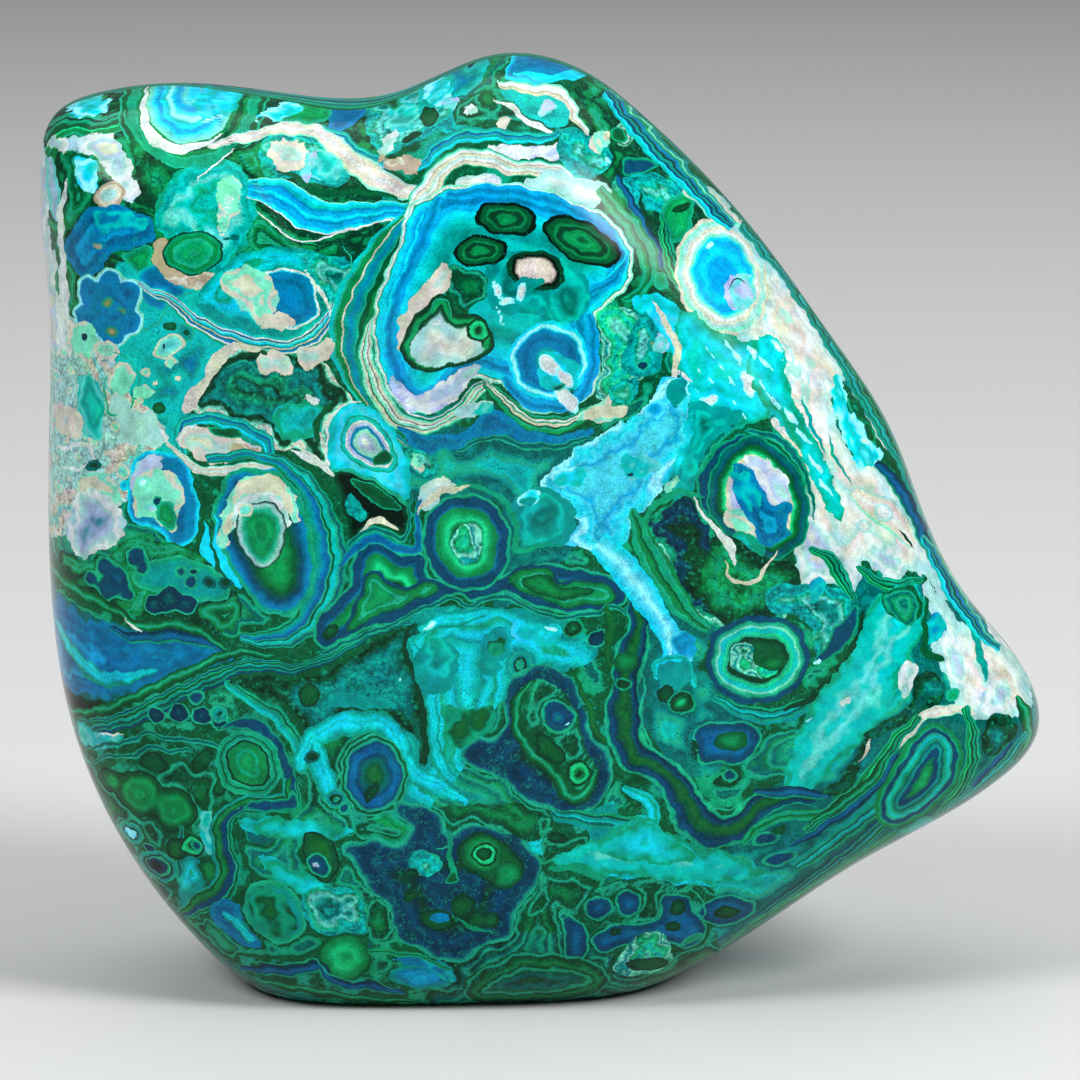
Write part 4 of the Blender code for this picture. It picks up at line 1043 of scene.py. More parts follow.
leftMiddle = grown("""
patch greenMix -48,58 -41,57 -38,54 -35,50 -38,47 -42,48.6 -48,49 -56,51 -57,55 -53,54.6 -49.6,56.6
patch seaPatch -47.8,54 -44,56 -40.6,55.6 -37,53.6 -36.8,51.2 -40,50.8 -44,51.8 -47,52
cluster navyCell -51.3,54.4,1.2 -49.7,53,1.5 -51,51.8,1.4 -53,52.6,1 -48.8,51.4,1
cluster navyCell -47.3,56,1.15 -46.9,54.4,.9 -48.1,55.4,.7
cluster inkCell -45.4,50.3,1.3 -43.6,51,1.5 -41.6,50.4,1.3
eye navyCell -42.2,54.2,.75,.7
eye inkCell -40.7,54.4,.6,.5
eye navyCell -41,53.1,.95,.9
eye dotDark -38.9,53,.8,.75 -37.1,53,.8,.8
patch blueCloud -61.5,50.6 -57,49.4 -53,48.2 -49.4,47.4 -46,46.8 -42,47 -39,46 -36.4,44.2 -39,42.9 -43,41.4
    -47,39.9 -50,38.5 -54,37 -58,36 -61.5,35.8
flow cyanGlow -58,45.6,.5 -55,42.6,.9 -52,40.8,1 -48.4,41.4,.7 -45.4,42.4,.3
flow navyBand -50.6,47,.3 -47.8,46.2,.6 -43.6,46.6,.8 -40.2,46.2,.6 -37.4,44.8,.3
patch pinePatch -58.6,37.6 -55,37.8 -51,37.9 -50.6,37.3 -54,36 -58,34.6
flow emeraldBand -37.4,45.4,.3 -39.4,46.9,.6 -42.4,48.1,.7 -45.6,47.9,.7 -47.6,47.6,.5 -49.4,49,.6
    -53,50.4,.8 -58.6,52.2,.9
flow whiteLine -48.9,48.2,.08 -48.2,47.6,.2 -47.4,47,.12
flow emeraldBand -57.6,34.4,.5 -54,36,.6 -51,37.3,.6 -47,39.6,.65 -44,41.2,.65 -41,42.6,.65 -38,44.1,.6
    -35.6,44.8,.5 -32,44.4,.4
flow deepStripes -57,32.2,.8 -53.6,34.2,1 -50,35.6,1.1 -46.4,37.4,1.2 -43,39.4,1.1 -39.6,41,1 -36.4,42.6,.9
    -33,43.2,.8 -29,42.8,.7 -25,44.2,.6 -20,47,.5 -16,48.3,.3
cluster inkCell -45.4,37,1 -42.8,37.4,1.2 -40,37.2,1.2 -37.8,36.4,.9
eye navyCell -40.6,39.4,1,.85
eye ringEye -38.1,37.4,1.2,.9,10 -37.3,37.2,.6,.55
patch navyPatch -38.6,35.6 -36,36.8 -33.4,37 -31,34.6 -29.6,31.8 -28.8,28 -30.4,29 -31.4,32.6 -33.4,35.2
    -36,35.6
patch turquoisePatch -55.4,34 -53,33.8 -49.6,34.3 -50.6,32.6 -53.4,31.4 -55.4,31.8
flow whiteLine -52.4,33.6,.06 -51,34,.16 -49.6,34.2,.06
flow doubleLine -54.4,31,.2 -51.6,32.6,.3 -48.4,33.6,.35 -46.4,34.8,.3 -43.6,34.2,.3 -40.4,34.2,.3
    -37.8,33.2,.3
flow doubleLine -53.6,29.6,.25 -51.4,31.2,.3 -48.6,31.6,.3 -46.6,33,.3 -43.6,32.8,.3 -41.6,33,.25
eye mossDark -45.8,31.2,1.8,1.2,-5
cluster leafGreen -51.2,27.8,1.7 -47.6,27,3 -43.5,25.6,2.8
eye mossDark -39.9,31.8,1.7,1.1,60 -37.9,28.8,1.5,.8,75
patch greenRound -38.3,32.4 -37.8,34.3 -35.4,35.5 -32.6,34.8 -31,32.4 -31,29.4 -32.4,27.9 -35,27.7
    -37.2,28.6 -38.2,30.4
flow cyanBand -37.2,41.2,.3 -34.6,39.4,.7 -31.6,37.5,.9 -29.6,35.2,.9 -28.4,32.4,.5
# round the big cream and green eye
flow roundWave -38.8,67.4,.6 -33.8,68,.6 -29.6,66.2,1 -27.2,63.4,1.6 -25.8,59.6,2.1 -25.2,55.4,2.4
    -26.2,51.4,2.2 -28.2,48,1.8 -31.4,46.4,1.2 -35,46.6,.6
patch egg -37.7,63.8 -36.4,66 -33.6,66.4 -30.4,65.6 -28.4,63.4 -27.3,60 -26.6,56 -26.6,53 -27.8,50.6
    -30.2,49 -33,50 -35.4,53 -37.6,57 -38.5,60.8
patch creamPatch -37.9,57.6 -37.2,61 -36,64 -33.2,65.7 -30.2,64.8 -28.5,61.8 -29,60 -30.4,62 -32.4,63.2
    -34.6,62.8 -36,60.6 -36.6,58
patch mistPatch -36.4,60.6 -34.8,63 -32.2,63.4 -30.2,62 -29.6,60 -31,59.4 -33.4,60 -35.2,59
patch eggCore -35.9,60 -34.5,62 -32,62.6 -30.3,61 -30,58 -31.3,55.4 -33.4,54.8 -35.2,57
eye mintRing -34.6,61.4,.9,.8
flow cyanLine -38,60.6,.08 -38.1,57.6,.25 -37,55,.5 -35.6,52.6,.3
""")

lowerMiddle = grown("""
# the rising wave left of the round green eye
patch roundGreen -26.9,46.6 -26.6,48.9 -24.6,50.6 -22.7,53 -22.3,56 -21,57.6 -18.6,57.8 -16.6,56.4 -14,56.2
    -13.2,53.6 -10,53 -6,53.4 -1,55.2 3,54.8 7.6,53.8 9.6,51.4 8.6,49.9 5,49.4 1.6,49.4 -2,50.6 -5,51.7
    -8,50.7 -10,51.6 -13,50.3 -17,48.3 -21,47.3 -24,45.7 -25.6,45.2
flow doubleLine -22.6,57.4,.25 -20.8,58.9,.35 -18.4,58.9,.35 -16.2,57.9,.3 -15.7,60.6,.2 -15.4,63,.12
flow blueBand -23.6,55,.3 -22,57,.6 -19.6,58.1,.7 -16.8,57,.6 -14.6,56.8,.5 -14.8,60,.4 -14.4,62.4,.2
patch kidney -23.4,47.2 -21.5,51.8 -20.9,53.8 -19.4,54.3 -17.6,53 -16,52.3 -14.4,53.4 -12.6,53.2 -11.8,51.8
    -14.4,50.7 -17,49.5 -20,48.4 -22.4,47
eye mossGlow -24.8,47.2,1.1,.9,20
patch kidney -4.4,53.6 -1.8,55.1 1,54.7 1.9,53.1 4,53.5 7,53.2 8.5,51.6 8,50.2 5,49.9 2,49.7 -1,51 -3.6,52
patch emeraldGlow -2.6,53.6 .6,53.8 2,52.4 5.6,52.4 5,51.4 1,51 -2,52.2
patch roundGreen -14.2,57.6 -13.8,60.6 -12,62.6 -9,63.4 -6.2,62.5 -4.4,60.4 -3.9,57.2 -4.8,54 -7,52.2
    -10,52.1 -12.8,53.8
flow seaLine -14.6,61.4,.14 -12.6,63.2,.2 -9.6,64.3,.25 -6,63.6,.3 -3.9,61.4,.35 -3.2,58.6,.35 -3.2,56.6,.35
    -1,57.2,.2 1.6,57.4,.12
flow creamLine -14.6,61.2,.1 -13.4,62.6,.35 -11.4,63.8,.4 -9,64.2,.15
eye springDruse -9,57.6,1.9,2.4
flow doubleLine -26,44.6,.25 -22,46.4,.3 -18,48,.3 -14,49.9,.3 -10.6,51.1,.3 -8.6,50.2,.3 -5.4,51.4,.35
    -2,50.1,.3 1,48.9,.3 4.4,49.1,.3 6.6,49.5,.3 7.6,50.3,.25 9.8,49.1,.2
patch slateDruse -37,41.2 -33,42 -29.7,41.5 -26.2,42.1 -23.2,43.6 -20.1,45.7 -17.2,47.2 -14.6,48.2
    -14.2,47.3 -16.2,46 -16.2,43.9 -15,42 -14.2,39.7 -13.9,37.4 -13.5,31.9 -14.4,31.3 -14.9,34.4 -16.4,35.6
    -17.7,37.1 -19.3,37.8 -22.6,37.8 -24.6,36.1 -25.6,35.4 -27.6,35.4 -28.5,36.8 -30.4,38.8 -33.4,40.2
patch tealSoft -25,40 -22.6,39.7 -19.6,39.4 -17,38.4 -18.4,38 -22.8,38.2 -25,38.6
eye mossDark -27.4,39.6,1.2,1.5
flow pineLine -15.3,48,.15 -16.4,45.4,.25 -15.4,42.8,.35 -14.4,39,.4 -14,35,.45 -14,32,.3
eye whiteSpot -18.6,43.9,.5,.15,80 -16.9,41.7,.4,.12,80
flow cyanGlow -28.6,31,1 -27.4,34.2,1.1 -24.6,35.8,1.5 -21.5,36.4,1.4 -18.6,36,1.3 -16.8,33.4,1.2
    -15.4,30.4,1.2 -12.4,28.6,1 -9.4,27,.6
flow cyanGlow -26.6,33.6,.8 -26,30.4,1.4 -25,27.4,.9
eye dotDark -27.2,32.2,.85,.8
eye ringEye -24.4,27.3,1.3,1.2
eye navyCell -23.5,26,.8,.75
eye navyEye -19.9,30,5,4,88
eye mossGlow -20.2,28,1.3,.7,60
flow cyanGlow -14.2,47.6,.7 -12.4,48.3,.9 -9.6,48.8,.8 -6.8,49.4,.4
eye whiteSpot -13.4,47.9,.9,.4,35
flow cyanGlow -15.6,46,.4 -14.6,43.4,.5 -13.4,40.6,.7 -13,36.6,.7 -12.6,32.6,.7 -11,29.6,.8
eye tealSoft -12.6,43,3.3,2.6,80 -5.6,45.6,2.2,1.7,60
eye mossSoft -5.6,45.4,1.2,.9,60
eye tealSoft -6.4,43.2,1.4,1.1
patch mossSoft -11.8,38.3 -8.6,38 -5.8,38.2 -6.2,35.4 -8,34.8 -10.2,33.4 -11.6,35.4
patch cyanSoft -3.2,48.6 -1,47.9 1.5,47.9 2,46.4 1,45.5 -1.6,45.7 -3.4,46.8
eye whiteSpot .6,47.6,.7,.2,-10
eye dotForest 3.3,47.5,1.3,1.2
eye inkCell 6.1,46.4,1.35,.95,25
flow mossVein 7.3,50,.3 7.7,48.2,.7 7.6,46,.55 7.2,44.4,.3 8.2,42,.1
eye ringEye -2.7,43.3,1.5,1.45
patch navyPool -9.4,33 -8,34.7 -6,34.8 -4.7,36 -4.6,39.5 -3.6,42 -1,43.3 2,42.7 3.8,40.6 5.2,37.6 5.7,35
    7.3,33.4 8.1,30.8 7.4,28.2 5.3,25.8 3,25.1 .5,25.9 -2.5,27.1 -4.2,28.9 -6,30.2 -8,30.7 -9.3,31.8
patch forestMix -2.6,41 0,41.4 2.4,40 4,37 4.6,33.6 6,31.6 5.6,28.8 3.4,27 1.4,28 0,31 -2,33.6 -3.6,37
flow emeraldBand -1.8,41.2,.3 -3.3,38.6,.6 -3.3,36,.6 -2.3,33.8,.7 -.4,31.8,.8 1.4,30,.8 2.2,28.4,.7
    3.8,27.2,.7 5.4,28.6,.6 6,30.8,.4
patch mossGlow -1,35.6 1,34.4 2.6,32.4 1.4,31.4 -.8,32.8
eye roundGreen 1.6,37.2,2.2,1.9,-35
eye whiteSpot 2.7,36.3,.3,.2,30
eye ringSpring 4,30.3,1.6,1.4,80
eye emeraldGlow 4.6,38.2,.5,.5
flow forestLine 3.2,42.6,.2 4.4,40,.35 5.6,37.4,.4 6,34.8,.35 7.4,33.9,.2
flow mossVein 4.4,40.2,.3 5.4,37.8,.4 6.2,35.2,.45 7.4,34.2,.2
flow navyMoss 10.5,50.4,.8 10.9,47.4,1.3 10,44,2 9.4,41,1.5 9.2,38,2.2 9.4,35,2.2 10.6,32.4,1.9
    13.4,30.9,1.7 15.6,28.4,1.9 17.2,25.4,2.5 19.4,23.2,2.4 22.4,23.4,1.8 25,26,1.5 28.4,27,1.2 31.6,26.6,.7
eye emeraldGlow 9.5,43.6,1.6,1.2,10
eye dotForest 9.1,41.1,1,.8
flow paleTail 6.4,57.4,1.4 8.6,55.4,1.7 10.8,52.6,1.7 12.8,49.6,1.5 14.4,47,1.2 14.6,44.8,.9 13.6,42.8,.5
patch brightPatch 15.3,47 17.6,46.8 17,43.8 15.4,42.8 14.9,45
flow whiteLine 13.4,43.6,.1 14.6,43.5,.14 15.8,42.9,.14 16.6,41.8,.06
flow arcGlow 12.9,42,.3 13.2,43.2,.5 15,44,.6 16.8,43,.5 17.4,41,.3
eye tealSoft 15,42,2,1.7
eye mossGlow 14.1,39.8,1.1,.9,80
eye dotForest 16.1,38.7,1.6,1.45
flow mintLine 11.2,42.4,.08 11.8,39.9,.13 11,38.1,.13 11.6,36,.13 12.5,33.4,.14 14.2,32.3,.14 16,30.9,.14
    17.7,28.8,.13 18.7,26.6,.13 21,25.6,.11 23,26.4,.08
patch navyCell 17.6,35.5 20,36.4 23.5,36.2 25.4,35.1 24.7,32.6 23,31.2 20.5,31.4 18.6,31.2 17.7,33
eye emeraldGlow 21.8,34,2.1,1.2,5
eye mossDark 17.5,33.2,.5,1.4,10
eye mossGlow 21.4,29.4,1.6,.8,15
eye navyCell 21.7,30,.95,.85
""")

lowerLeft = grown("""
eye ringEye -49,21.3,1.7,1.5
eye cyanPatch -49,21.2,.7,.6
eye inkCell -46.8,19.8,.8,.8
eye ringEye -45.8,17.6,2.6,2.2
eye inkCore -46.1,17.6,1.2,1.1
flow doubleLine -42.6,23.2,.3 -43.2,20,.35 -43,16,.35 -42.4,12.6,.3
eye mossGlow -43.2,20.6,1.5,1.5
eye ringSpring -41.4,21.1,1.5,1.4
eye navyCell -41,21.2,.7,.65
patch turquoisePatch -40.4,25.4 -38.6,24.6 -38.8,20.4 -40,21.4
patch turquoiseMix -42.6,19 -40.4,19.4 -40,16.6 -41.6,14.2 -43.4,13
patch emeraldGlow -40.6,19 -39,19.4 -38.4,17.4 -40,16.6
flow waveStripe -29.6,29.6,.9 -29.8,26.9,1.1 -33,26.7,1.1 -36,26.2,1.1 -37.9,24,1.2 -37.7,21,1.4
    -37.2,18,1.5 -38.4,15.4,1.5 -41,13.4,1.3 -43,11,.9
patch navyPatch -36.4,25.9 -33,27.3 -30.4,27.2 -29.4,28.6 -28.9,26.4 -31.4,25.7 -34.4,25.9
patch deepPatch -34.8,23.6 -33,23.4 -31.4,22.8 -32.4,21.9 -34.6,22
patch turquoiseGlow -36,24.4 -32,25 -28,24.7 -24.6,24 -22.4,23.5 -24.6,22.4 -28,22.2 -32,22.7 -35,23.4
patch turquoiseGlow -33.4,20.8 -31,19.4 -28.2,18.2 -25.6,17.4 -24.4,15.8 -26.6,15 -29,15.8 -31.4,17.2
    -32.8,19
eye seaPatch -31.8,13.2,4.4,3.4,-60
eye mossSoft -32,13.2,3.4,2.3,-60
patch blueMix -39.8,13 -38,14.4 -36,14 -35.4,11.6 -34,9.6 -33.4,8.2 -36,8.6 -38.4,10.4
flow cyanGlow -37.6,12.4,.5 -36.4,11.4,.8 -34.8,9.4,.5
patch mossDark -28.3,22.9 -26,23 -24.3,21.4 -24.2,18.6 -25.8,17 -27.8,18.6
eye navyCell -26.5,19.2,1.5,1.35,-40
eye lilacSoft -26.6,19.1,.5,.4
patch tealDruse -28.6,15.6 -24,16.6 -21.6,15 -20.8,11 -23,10.4 -27,10.8
flow mintLine -28,14.4,.08 -26.8,11.4,.13 -25.2,11,.11 -22.6,11.2,.06
patch forestMix -20.4,15.4 -18.4,14.8 -17.6,11.4 -19,9.8 -21,10.6
eye emeraldGlow -23.6,7.4,3.4,3.1,80,1.3
flow navyBand -36,4.6,.4 -33,5.1,.8 -29.6,5.3,.8 -26.8,6.2,.7 -25.4,4.4,.6 -23,3.4,.6 -20,3.4,.7 -17,2.3,.4
flow mintLine -36,6,.08 -30,6.4,.1 -27.2,7.2,.11 -25.8,5.2,.11 -23,4.3,.11 -20.2,4.5,.1 -18,3,.06
flow emeraldBand -39,3.6,.5 -33,3,.6 -27,2.4,.6 -21,1.3,.5 -15,1,.3
flow deepStripes -45.5,10.6,.7 -41,6.4,.9 -37,3.8,.8 -33,2,.6 -27,.9,.5
eye cyanLens -14.6,4.7,3.9,1.7,-7
patch azureSoft -18.4,7.2 -14.6,7.6 -11,5.8 -10.6,4 -14,6
flow seaBands -20.4,8.4,.4 -17.2,8.1,.4 -14,7.4,.3 -11.4,5.8,.2
""")

bottomMiddle = grown("""
patch navyPool -23.5,21.9 -21.8,22 -19.8,22.6 -18.2,21.7 -16.5,22.1 -15.7,23.8 -16.6,24.6 -17.8,26.2
    -17.1,27.1 -15,26.5 -13.2,26.1 -11.6,24.3 -11.1,22.8 -10.2,23.8 -8.3,24.3 -5.9,23.7 -2.8,22.3 -1,20.5
    -.5,19.1 -.8,16.8 -2,15.4 -3,13.6 -3.6,11.7 -4.2,10 -7.4,8.8 -8.7,7.4 -10.6,6.7 -12.8,7.4 -15,8.7
    -17,10.1 -17.9,11.7 -18.1,13.7 -19.5,15.1 -20.7,16.5 -22.4,19.1 -23.6,20.6
flow mintLine -11.5,23,.08 -11.2,21.4,.11 -12.4,21.3,.08
flow seaLine -11.1,22.8,.3 -11.1,20.8,.3 -10.8,18.8,.35
sharp forestPatch -11.9,16.8 -10.8,19.2 -9.4,16.8
patch greenPatch -22.4,24.9 -20.6,24.7 -18.4,25.9 -17.1,24.6 -15.8,23.8 -16.5,22.1 -18.3,21.7 -19.8,22.5
    -21.8,22.6
patch forestMix -22,24.4 -20,24.4 -17,23.6 -17.4,22.4 -20,23 -22,23
cluster mossGlow -7.6,20.6,2.6 -4.6,18.6,2.3 -6,19.8,2.6
cluster emeraldGlow -7.2,20.6,2.4 -4.3,18,1.7
eye ringSpring -7,20.5,1.6,1.45
eye mossDark -7,20.5,.9,.85
eye tealDruse -14,19.4,2.1,1.5
flow mintLine -15.4,20.6,.05 -14,20.9,.1 -12.4,20.2,.1 -12.2,19,.05
eye mintPatch -14.8,18.3,.4,.2,20
eye mossGlow -15.6,18.1,.9,.7 -15.9,15.4,.8,.9
cluster mossGlow -9.6,14.2,1.5 -8,12.2,1.3 -6.2,12.4,1.1
eye mossDark -12.6,12.4,2.3,1.3,-15
eye bluePatch -12.2,12.6,1.2,.6,-15
flow seaLine -10,12.6,.1 -8.6,11.4,.25 -6.4,10.8,.1
patch forestMix -.6,25 2,24.4 5,23.4 4.8,20.6 1.6,20 .4,17.8 .6,14 -2.4,12.6 -1.4,15.2 0,18.6
eye mossGlow 1.4,22.6,1.3,.8
flow tealBands 1.4,25.4,.7 4.6,24.8,1 8.4,24.2,1.2 12,24,1
flow arcGlow 9.4,28.6,.4 11.6,27.4,.7 12.9,25.4,.7 12.8,23,.4
patch seaGlow 1,20 4,21.4 7,23 9.6,24.6 12.6,25 14.4,23 18,21.4 22,20 25.4,18 25,16.6 20,16.6 15,17.2
    11,17.6 7,18 3.6,18.6
patch turquoiseGlow 6,21.4 9.6,23.8 12.6,24.2 14.6,22 18,20.2 16,19.2 11,19.6
flow seaLine .8,18.8,.3 2.8,18.9,.4 4.8,18.6,.7 6.4,17.6,.3
patch forestMix 5,15.6 8,17.1 12,17.5 15.6,16.2 14.6,13 13.7,12 10,11.4 7,11.8 5.8,10.6 4.8,12.2
eye navyCell 6.4,13.8,1.7,1.5,10 9.9,14.3,1.75,1.55,80
patch navyCell 1.4,13.9 2.5,13.4 4.5,11.6 5.3,10 5.2,8 4.2,6.6 2.8,7.2 2.2,9.5 2.2,11.8
patch navyCell 5.6,9.6 7.5,11.4 10,11.6 13.6,12.1 13.5,14.9 15.5,15.4 17.1,14.7 17.5,13 18.6,12 19.2,10
    18.8,8.2 17,7.4 15,8.4 12,8.6 9,8.4 6.8,7.8
eye mossGlow 15.7,13.5,1,1.2 15.3,10.9,1.1,.8 8.4,10.6,.8,.5
patch springDruse 9.4,7.6 11,10 13.4,10.4 14.8,8.4 15.4,5.8 13,4 10,4 8,5.4
eye mossDark 12.2,5.6,2.6,1.1,-5
patch greenPatch 15.7,8 17.2,9.5 19,9.3 18.4,8.5 16.8,8
eye navyCell 21.6,12.4,3.6,2.2,-6
eye mossGlow 21.7,12.1,1.6,.9,-10
flow mintLine 17.4,15.6,.11 18.4,14.4,.13 19.2,12.8,.11 18.6,11.6,.08
eye navyCell 26,21.8,1.7,.95,15
eye emeraldGlow 27.6,22.8,1,.5,10
eye navyCell 27.8,19,2.1,1,5
flow seaBands 23.4,21.6,.4 26,23.8,.6 29.4,24.6,.7 32.6,24.4,.7
patch forestMix 0,8 6,6.6 8,3 2,0 -8,0 -9.6,4 -4,8
""")

lowerRight = grown("""
flow navyBand 25,27.6,.4 28,27.5,.7 31.4,27.3,.6 33.4,26.6,.3
patch slateDruse 32.6,27.2 34.4,28.6 36,30.6 37.4,33.2 38.4,34.4 37.4,30.6 36.6,28.6 34.8,26.8
flow creamLine 37.2,31,.06 37.8,32.2,.2 38.4,33.4,.06
eye emeraldGlow 33.6,24.4,1.3,.455,50 35.4,25.2,1,.35,50 36.6,27.6,1.4,.49,50 38.6,30.4,1.2,.42,50
    40.6,31.4,1.5,.525,50 42.2,34.4,1.1,.385,50
flow greenBands 44,36,.5 41.4,33.4,.8 39.2,30,1 37,27.2,1 34,24.8,.9 31,22.6,.6
flow emeraldBand 40.4,31.6,.4 38.4,28.4,.6 36,26.6,.6 33.4,24.6,.5 31.6,23.6,.3
flow navyBand 41.4,31.4,.3 39.6,28.2,.5 37.4,25.8,.6 34.4,23.8,.5 31.4,21.8,.5 29,20.6,.3
flow tealBands 42.6,29.8,.5 40.6,26.4,1 37.4,23.4,1.2 33.4,20.2,1.2 30,17.6,.9
flow deepStripes 43.4,27,.6 40.6,22.8,1.2 36,18.4,1.2 30.4,14,1.1 24.4,9.6,.8
flow greenBands 42,20.4,.6 38,17.4,.9 33.4,14,.9 27,10.2,.8 21.6,6.4,.5
patch hairpin 49.2,28 49.4,31.6 48.2,34.2 45.6,35.2 43.1,33.4 41.4,30.6 39.8,27.6 39,24.8 40.2,22.2
    42.6,21.6 45.6,23.2 48,25.6
patch slateDruse 52.4,35.2 55,35 56.2,33 54.6,30.6 52,31
flow greenBands 49.8,36.4,.5 50.6,33.4,.8 50.6,29.6,.9 49.4,26,.8 47,22.6,.5
flow emeraldBand 56.4,36.4,.4 57.6,34,.8 57.8,31.4,.7 56.6,29,.3
flow tealBands 57.4,32,.6 54.4,28.6,.9 51.4,26,.9 48,22.6,.6
flow navyBand 55.4,31.4,.4 53,28.8,.6 51.2,26.6,.4
""")

frontLayers = (
    fields + topLeft + topMiddle + topRight + bowlArea + rightShoulder + middle + leftSide + leftMiddle
    + rightEye + lowerMiddle + lowerLeft + bottomMiddle + lowerRight
)


sides = {
    "turn": 28.0,           # degrees that the front's growth is turned for the back
    "spread": 1.3,          # how much larger it lies there
    "knobs": 110,           # round growths that the grinding opened along the edge
    "knobReach": 9.0,       # how far they lie before and behind the rim
    "knobKinds": (
        "roundGreen", "greenRound", "navyEye", "emeraldGlow", "kidney", "deepMix", "turquoiseRing",
        "cyanPatch", "creamRings", "leafGreen", "forestMix", "azurePatch", "tealBlue", "mossGlow",
    ),
    "girdle": 3.2,          # mm from the girdle's middle to its edges
}


def turnedOver(layer):
    # Reflection in a slanted line through the heart, and spreading about it: a point shows what the front
    # has at heart + reflected(point - heart) / spread.
    kind, box, measure = layer
    cos, sin = math.cos(math.radians(sides["turn"])), math.sin(math.radians(sides["turn"]))
    heartX, heartZ = stoneShape["heart"]
    spread = sides["spread"]

    def turn(x, z, scale):
        x, z = (x - heartX) * scale, (z - heartZ) * scale
        return heartX + cos * x + sin * z, heartZ + sin * x - cos * z

    boxX, boxZ = np.array([box[0], box[1], box[1], box[0]]), np.array([box[2], box[2], box[3], box[3]])
    cornersX, cornersZ = turn(boxX, boxZ, spread)

    def measureTurned(px, py, pz):
        x, z = turn(px, pz, 1 / spread)
        cover, band = measure(x, py, z)
        return cover * spread, band if kind in flowKinds else band * spread

    return kind, (cornersX.min(), cornersX.max(), cornersZ.min(), cornersZ.max()), measureTurned


def edgeLayers():
    # A thin waving girdle at the rim, and knobs at random places along the edge over it.
    def girdle(px, py, pz):
        wave = 1.6 * np.sin(px * 0.11 + 1) + 1.2 * np.sin(pz * 0.17) + 0.7 * np.sin((px - pz) * 0.31)
        half = sides["girdle"] * (1 + 0.3 * np.sin(px * 0.23 + pz * 0.13))
        return half + 0.7 - abs(py - wave), np.clip((py - wave) / half, -9, 9)

    random = np.random.default_rng(7)
    rim = closedSpline(stoneShape["outline"], sides["knobs"] * 8)
    layers = [("girdle", (-99, 99, -99, 199), girdle)]
    for number in range(sides["knobs"]):
        x, z = rim[number * 8 + random.integers(5)] * (0.985, 0.985)
        kind = sides["knobKinds"][random.integers(len(sides["knobKinds"]))]
        y = random.uniform(0.35, 1.9) * sides["knobReach"]
        layers.append(knob(kind, x, y, z + 0.8, random.uniform(1.8, 5.2)))
    return layers


look = {
    "noises": {                 # scale per mm, octaves and roughness
        "swerve": (0.62, 2.0, 0.5),
        "drift": (0.16, 2.0, 0.5),
        "finer": (0.55, 1.0, 0.5),
        "jags": (3.0, 1.0, 0.7),
        "mottle": (0.5, 3.0, 0.68),
        "speckle": (4.4, 1.0, 0.8),
    },
    "wobble": 0.14,             # mm that edges waver
    "ragged": 0.12,             # mm that edges are jagged
    "scallop": (0.3, 0.8),      # mm that frayed growth is scalloped, and scallops per mm
    "fray": 1.8,                # how much further the edges of sprays and clouds waver
    "swirl": 0.8,               # mm that mixed growth drifts
    "cloudDrift": (5.0, 2.6),   # mm that druses, sprays and clouds drift, slowly and finely
    "grain": 0.2,               # how much fine growth lines lighten and darken
    "grainLines": (58.0, 3.7, 2.6),     # lines along a whole ramp, shift of each kind, and waver
    "mottle": 1.5,              # how much the tone changes over about 2 mm
    "speckle": 1.1,             # how much it changes from speck to speck
    "crystals": 2.6,            # druse crystals per mm
    "druse": (0.75, 0.4),       # how much crystals differ, and how much each darkens from its middle
    "spray": 0.22,              # how much the grains of a spray differ
    "hueShift": 0.1,            # how far the colour wanders between blue and green
    "crack": (0.008, 0.45),     # half width of the pale cracks in sprays, and how strong they are
    "vein": (0.52, 0.009, 0.45),        # place in the mottling, half width and strength of pale veins
    "shadow": (0.6, 0.014, 0.5),        # and of dark ones
    "fleck": 0.4,               # how strong pale flecks are
    "paleCrystal": 0.3,         # how strong the palest crystals of a druse are
    "roughness": (0.1, 0.22),
    "druseRoughness": 0.06,     # added on druses and sprays
    "specular": 0.1,
    "ior": 1.5,
}


class Value:
    # A socket of a material whose arithmetic adds Math nodes.
    def __init__(self, board, socket):
        self.board = board
        self.socket = socket

    def math(self, operation, other=0.0, third=0.0, turned=False):
        one, two = (other, self) if turned else (self, other)
        return self.board.node("ShaderNodeMath", {"operation": operation}, {0: one, 1: two, 2: third})[0]

    def __add__(self, other):
        return self.math("ADD", other)

    def __radd__(self, other):
        return self.math("ADD", other, turned=True)

    def __sub__(self, other):
        return self.math("SUBTRACT", other)

    def __rsub__(self, other):
        return self.math("SUBTRACT", other, turned=True)

    def __mul__(self, other):
        return self.math("MULTIPLY", other)

    def __rmul__(self, other):
        return self.math("MULTIPLY", other, turned=True)

    def __truediv__(self, other):
        return self.math("DIVIDE", other)

    def __rtruediv__(self, other):
        return self.math("DIVIDE", other, turned=True)

    def __gt__(self, other):
        return self.math("GREATER_THAN", other)

    def __lt__(self, other):
        return self.math("LESS_THAN", other)


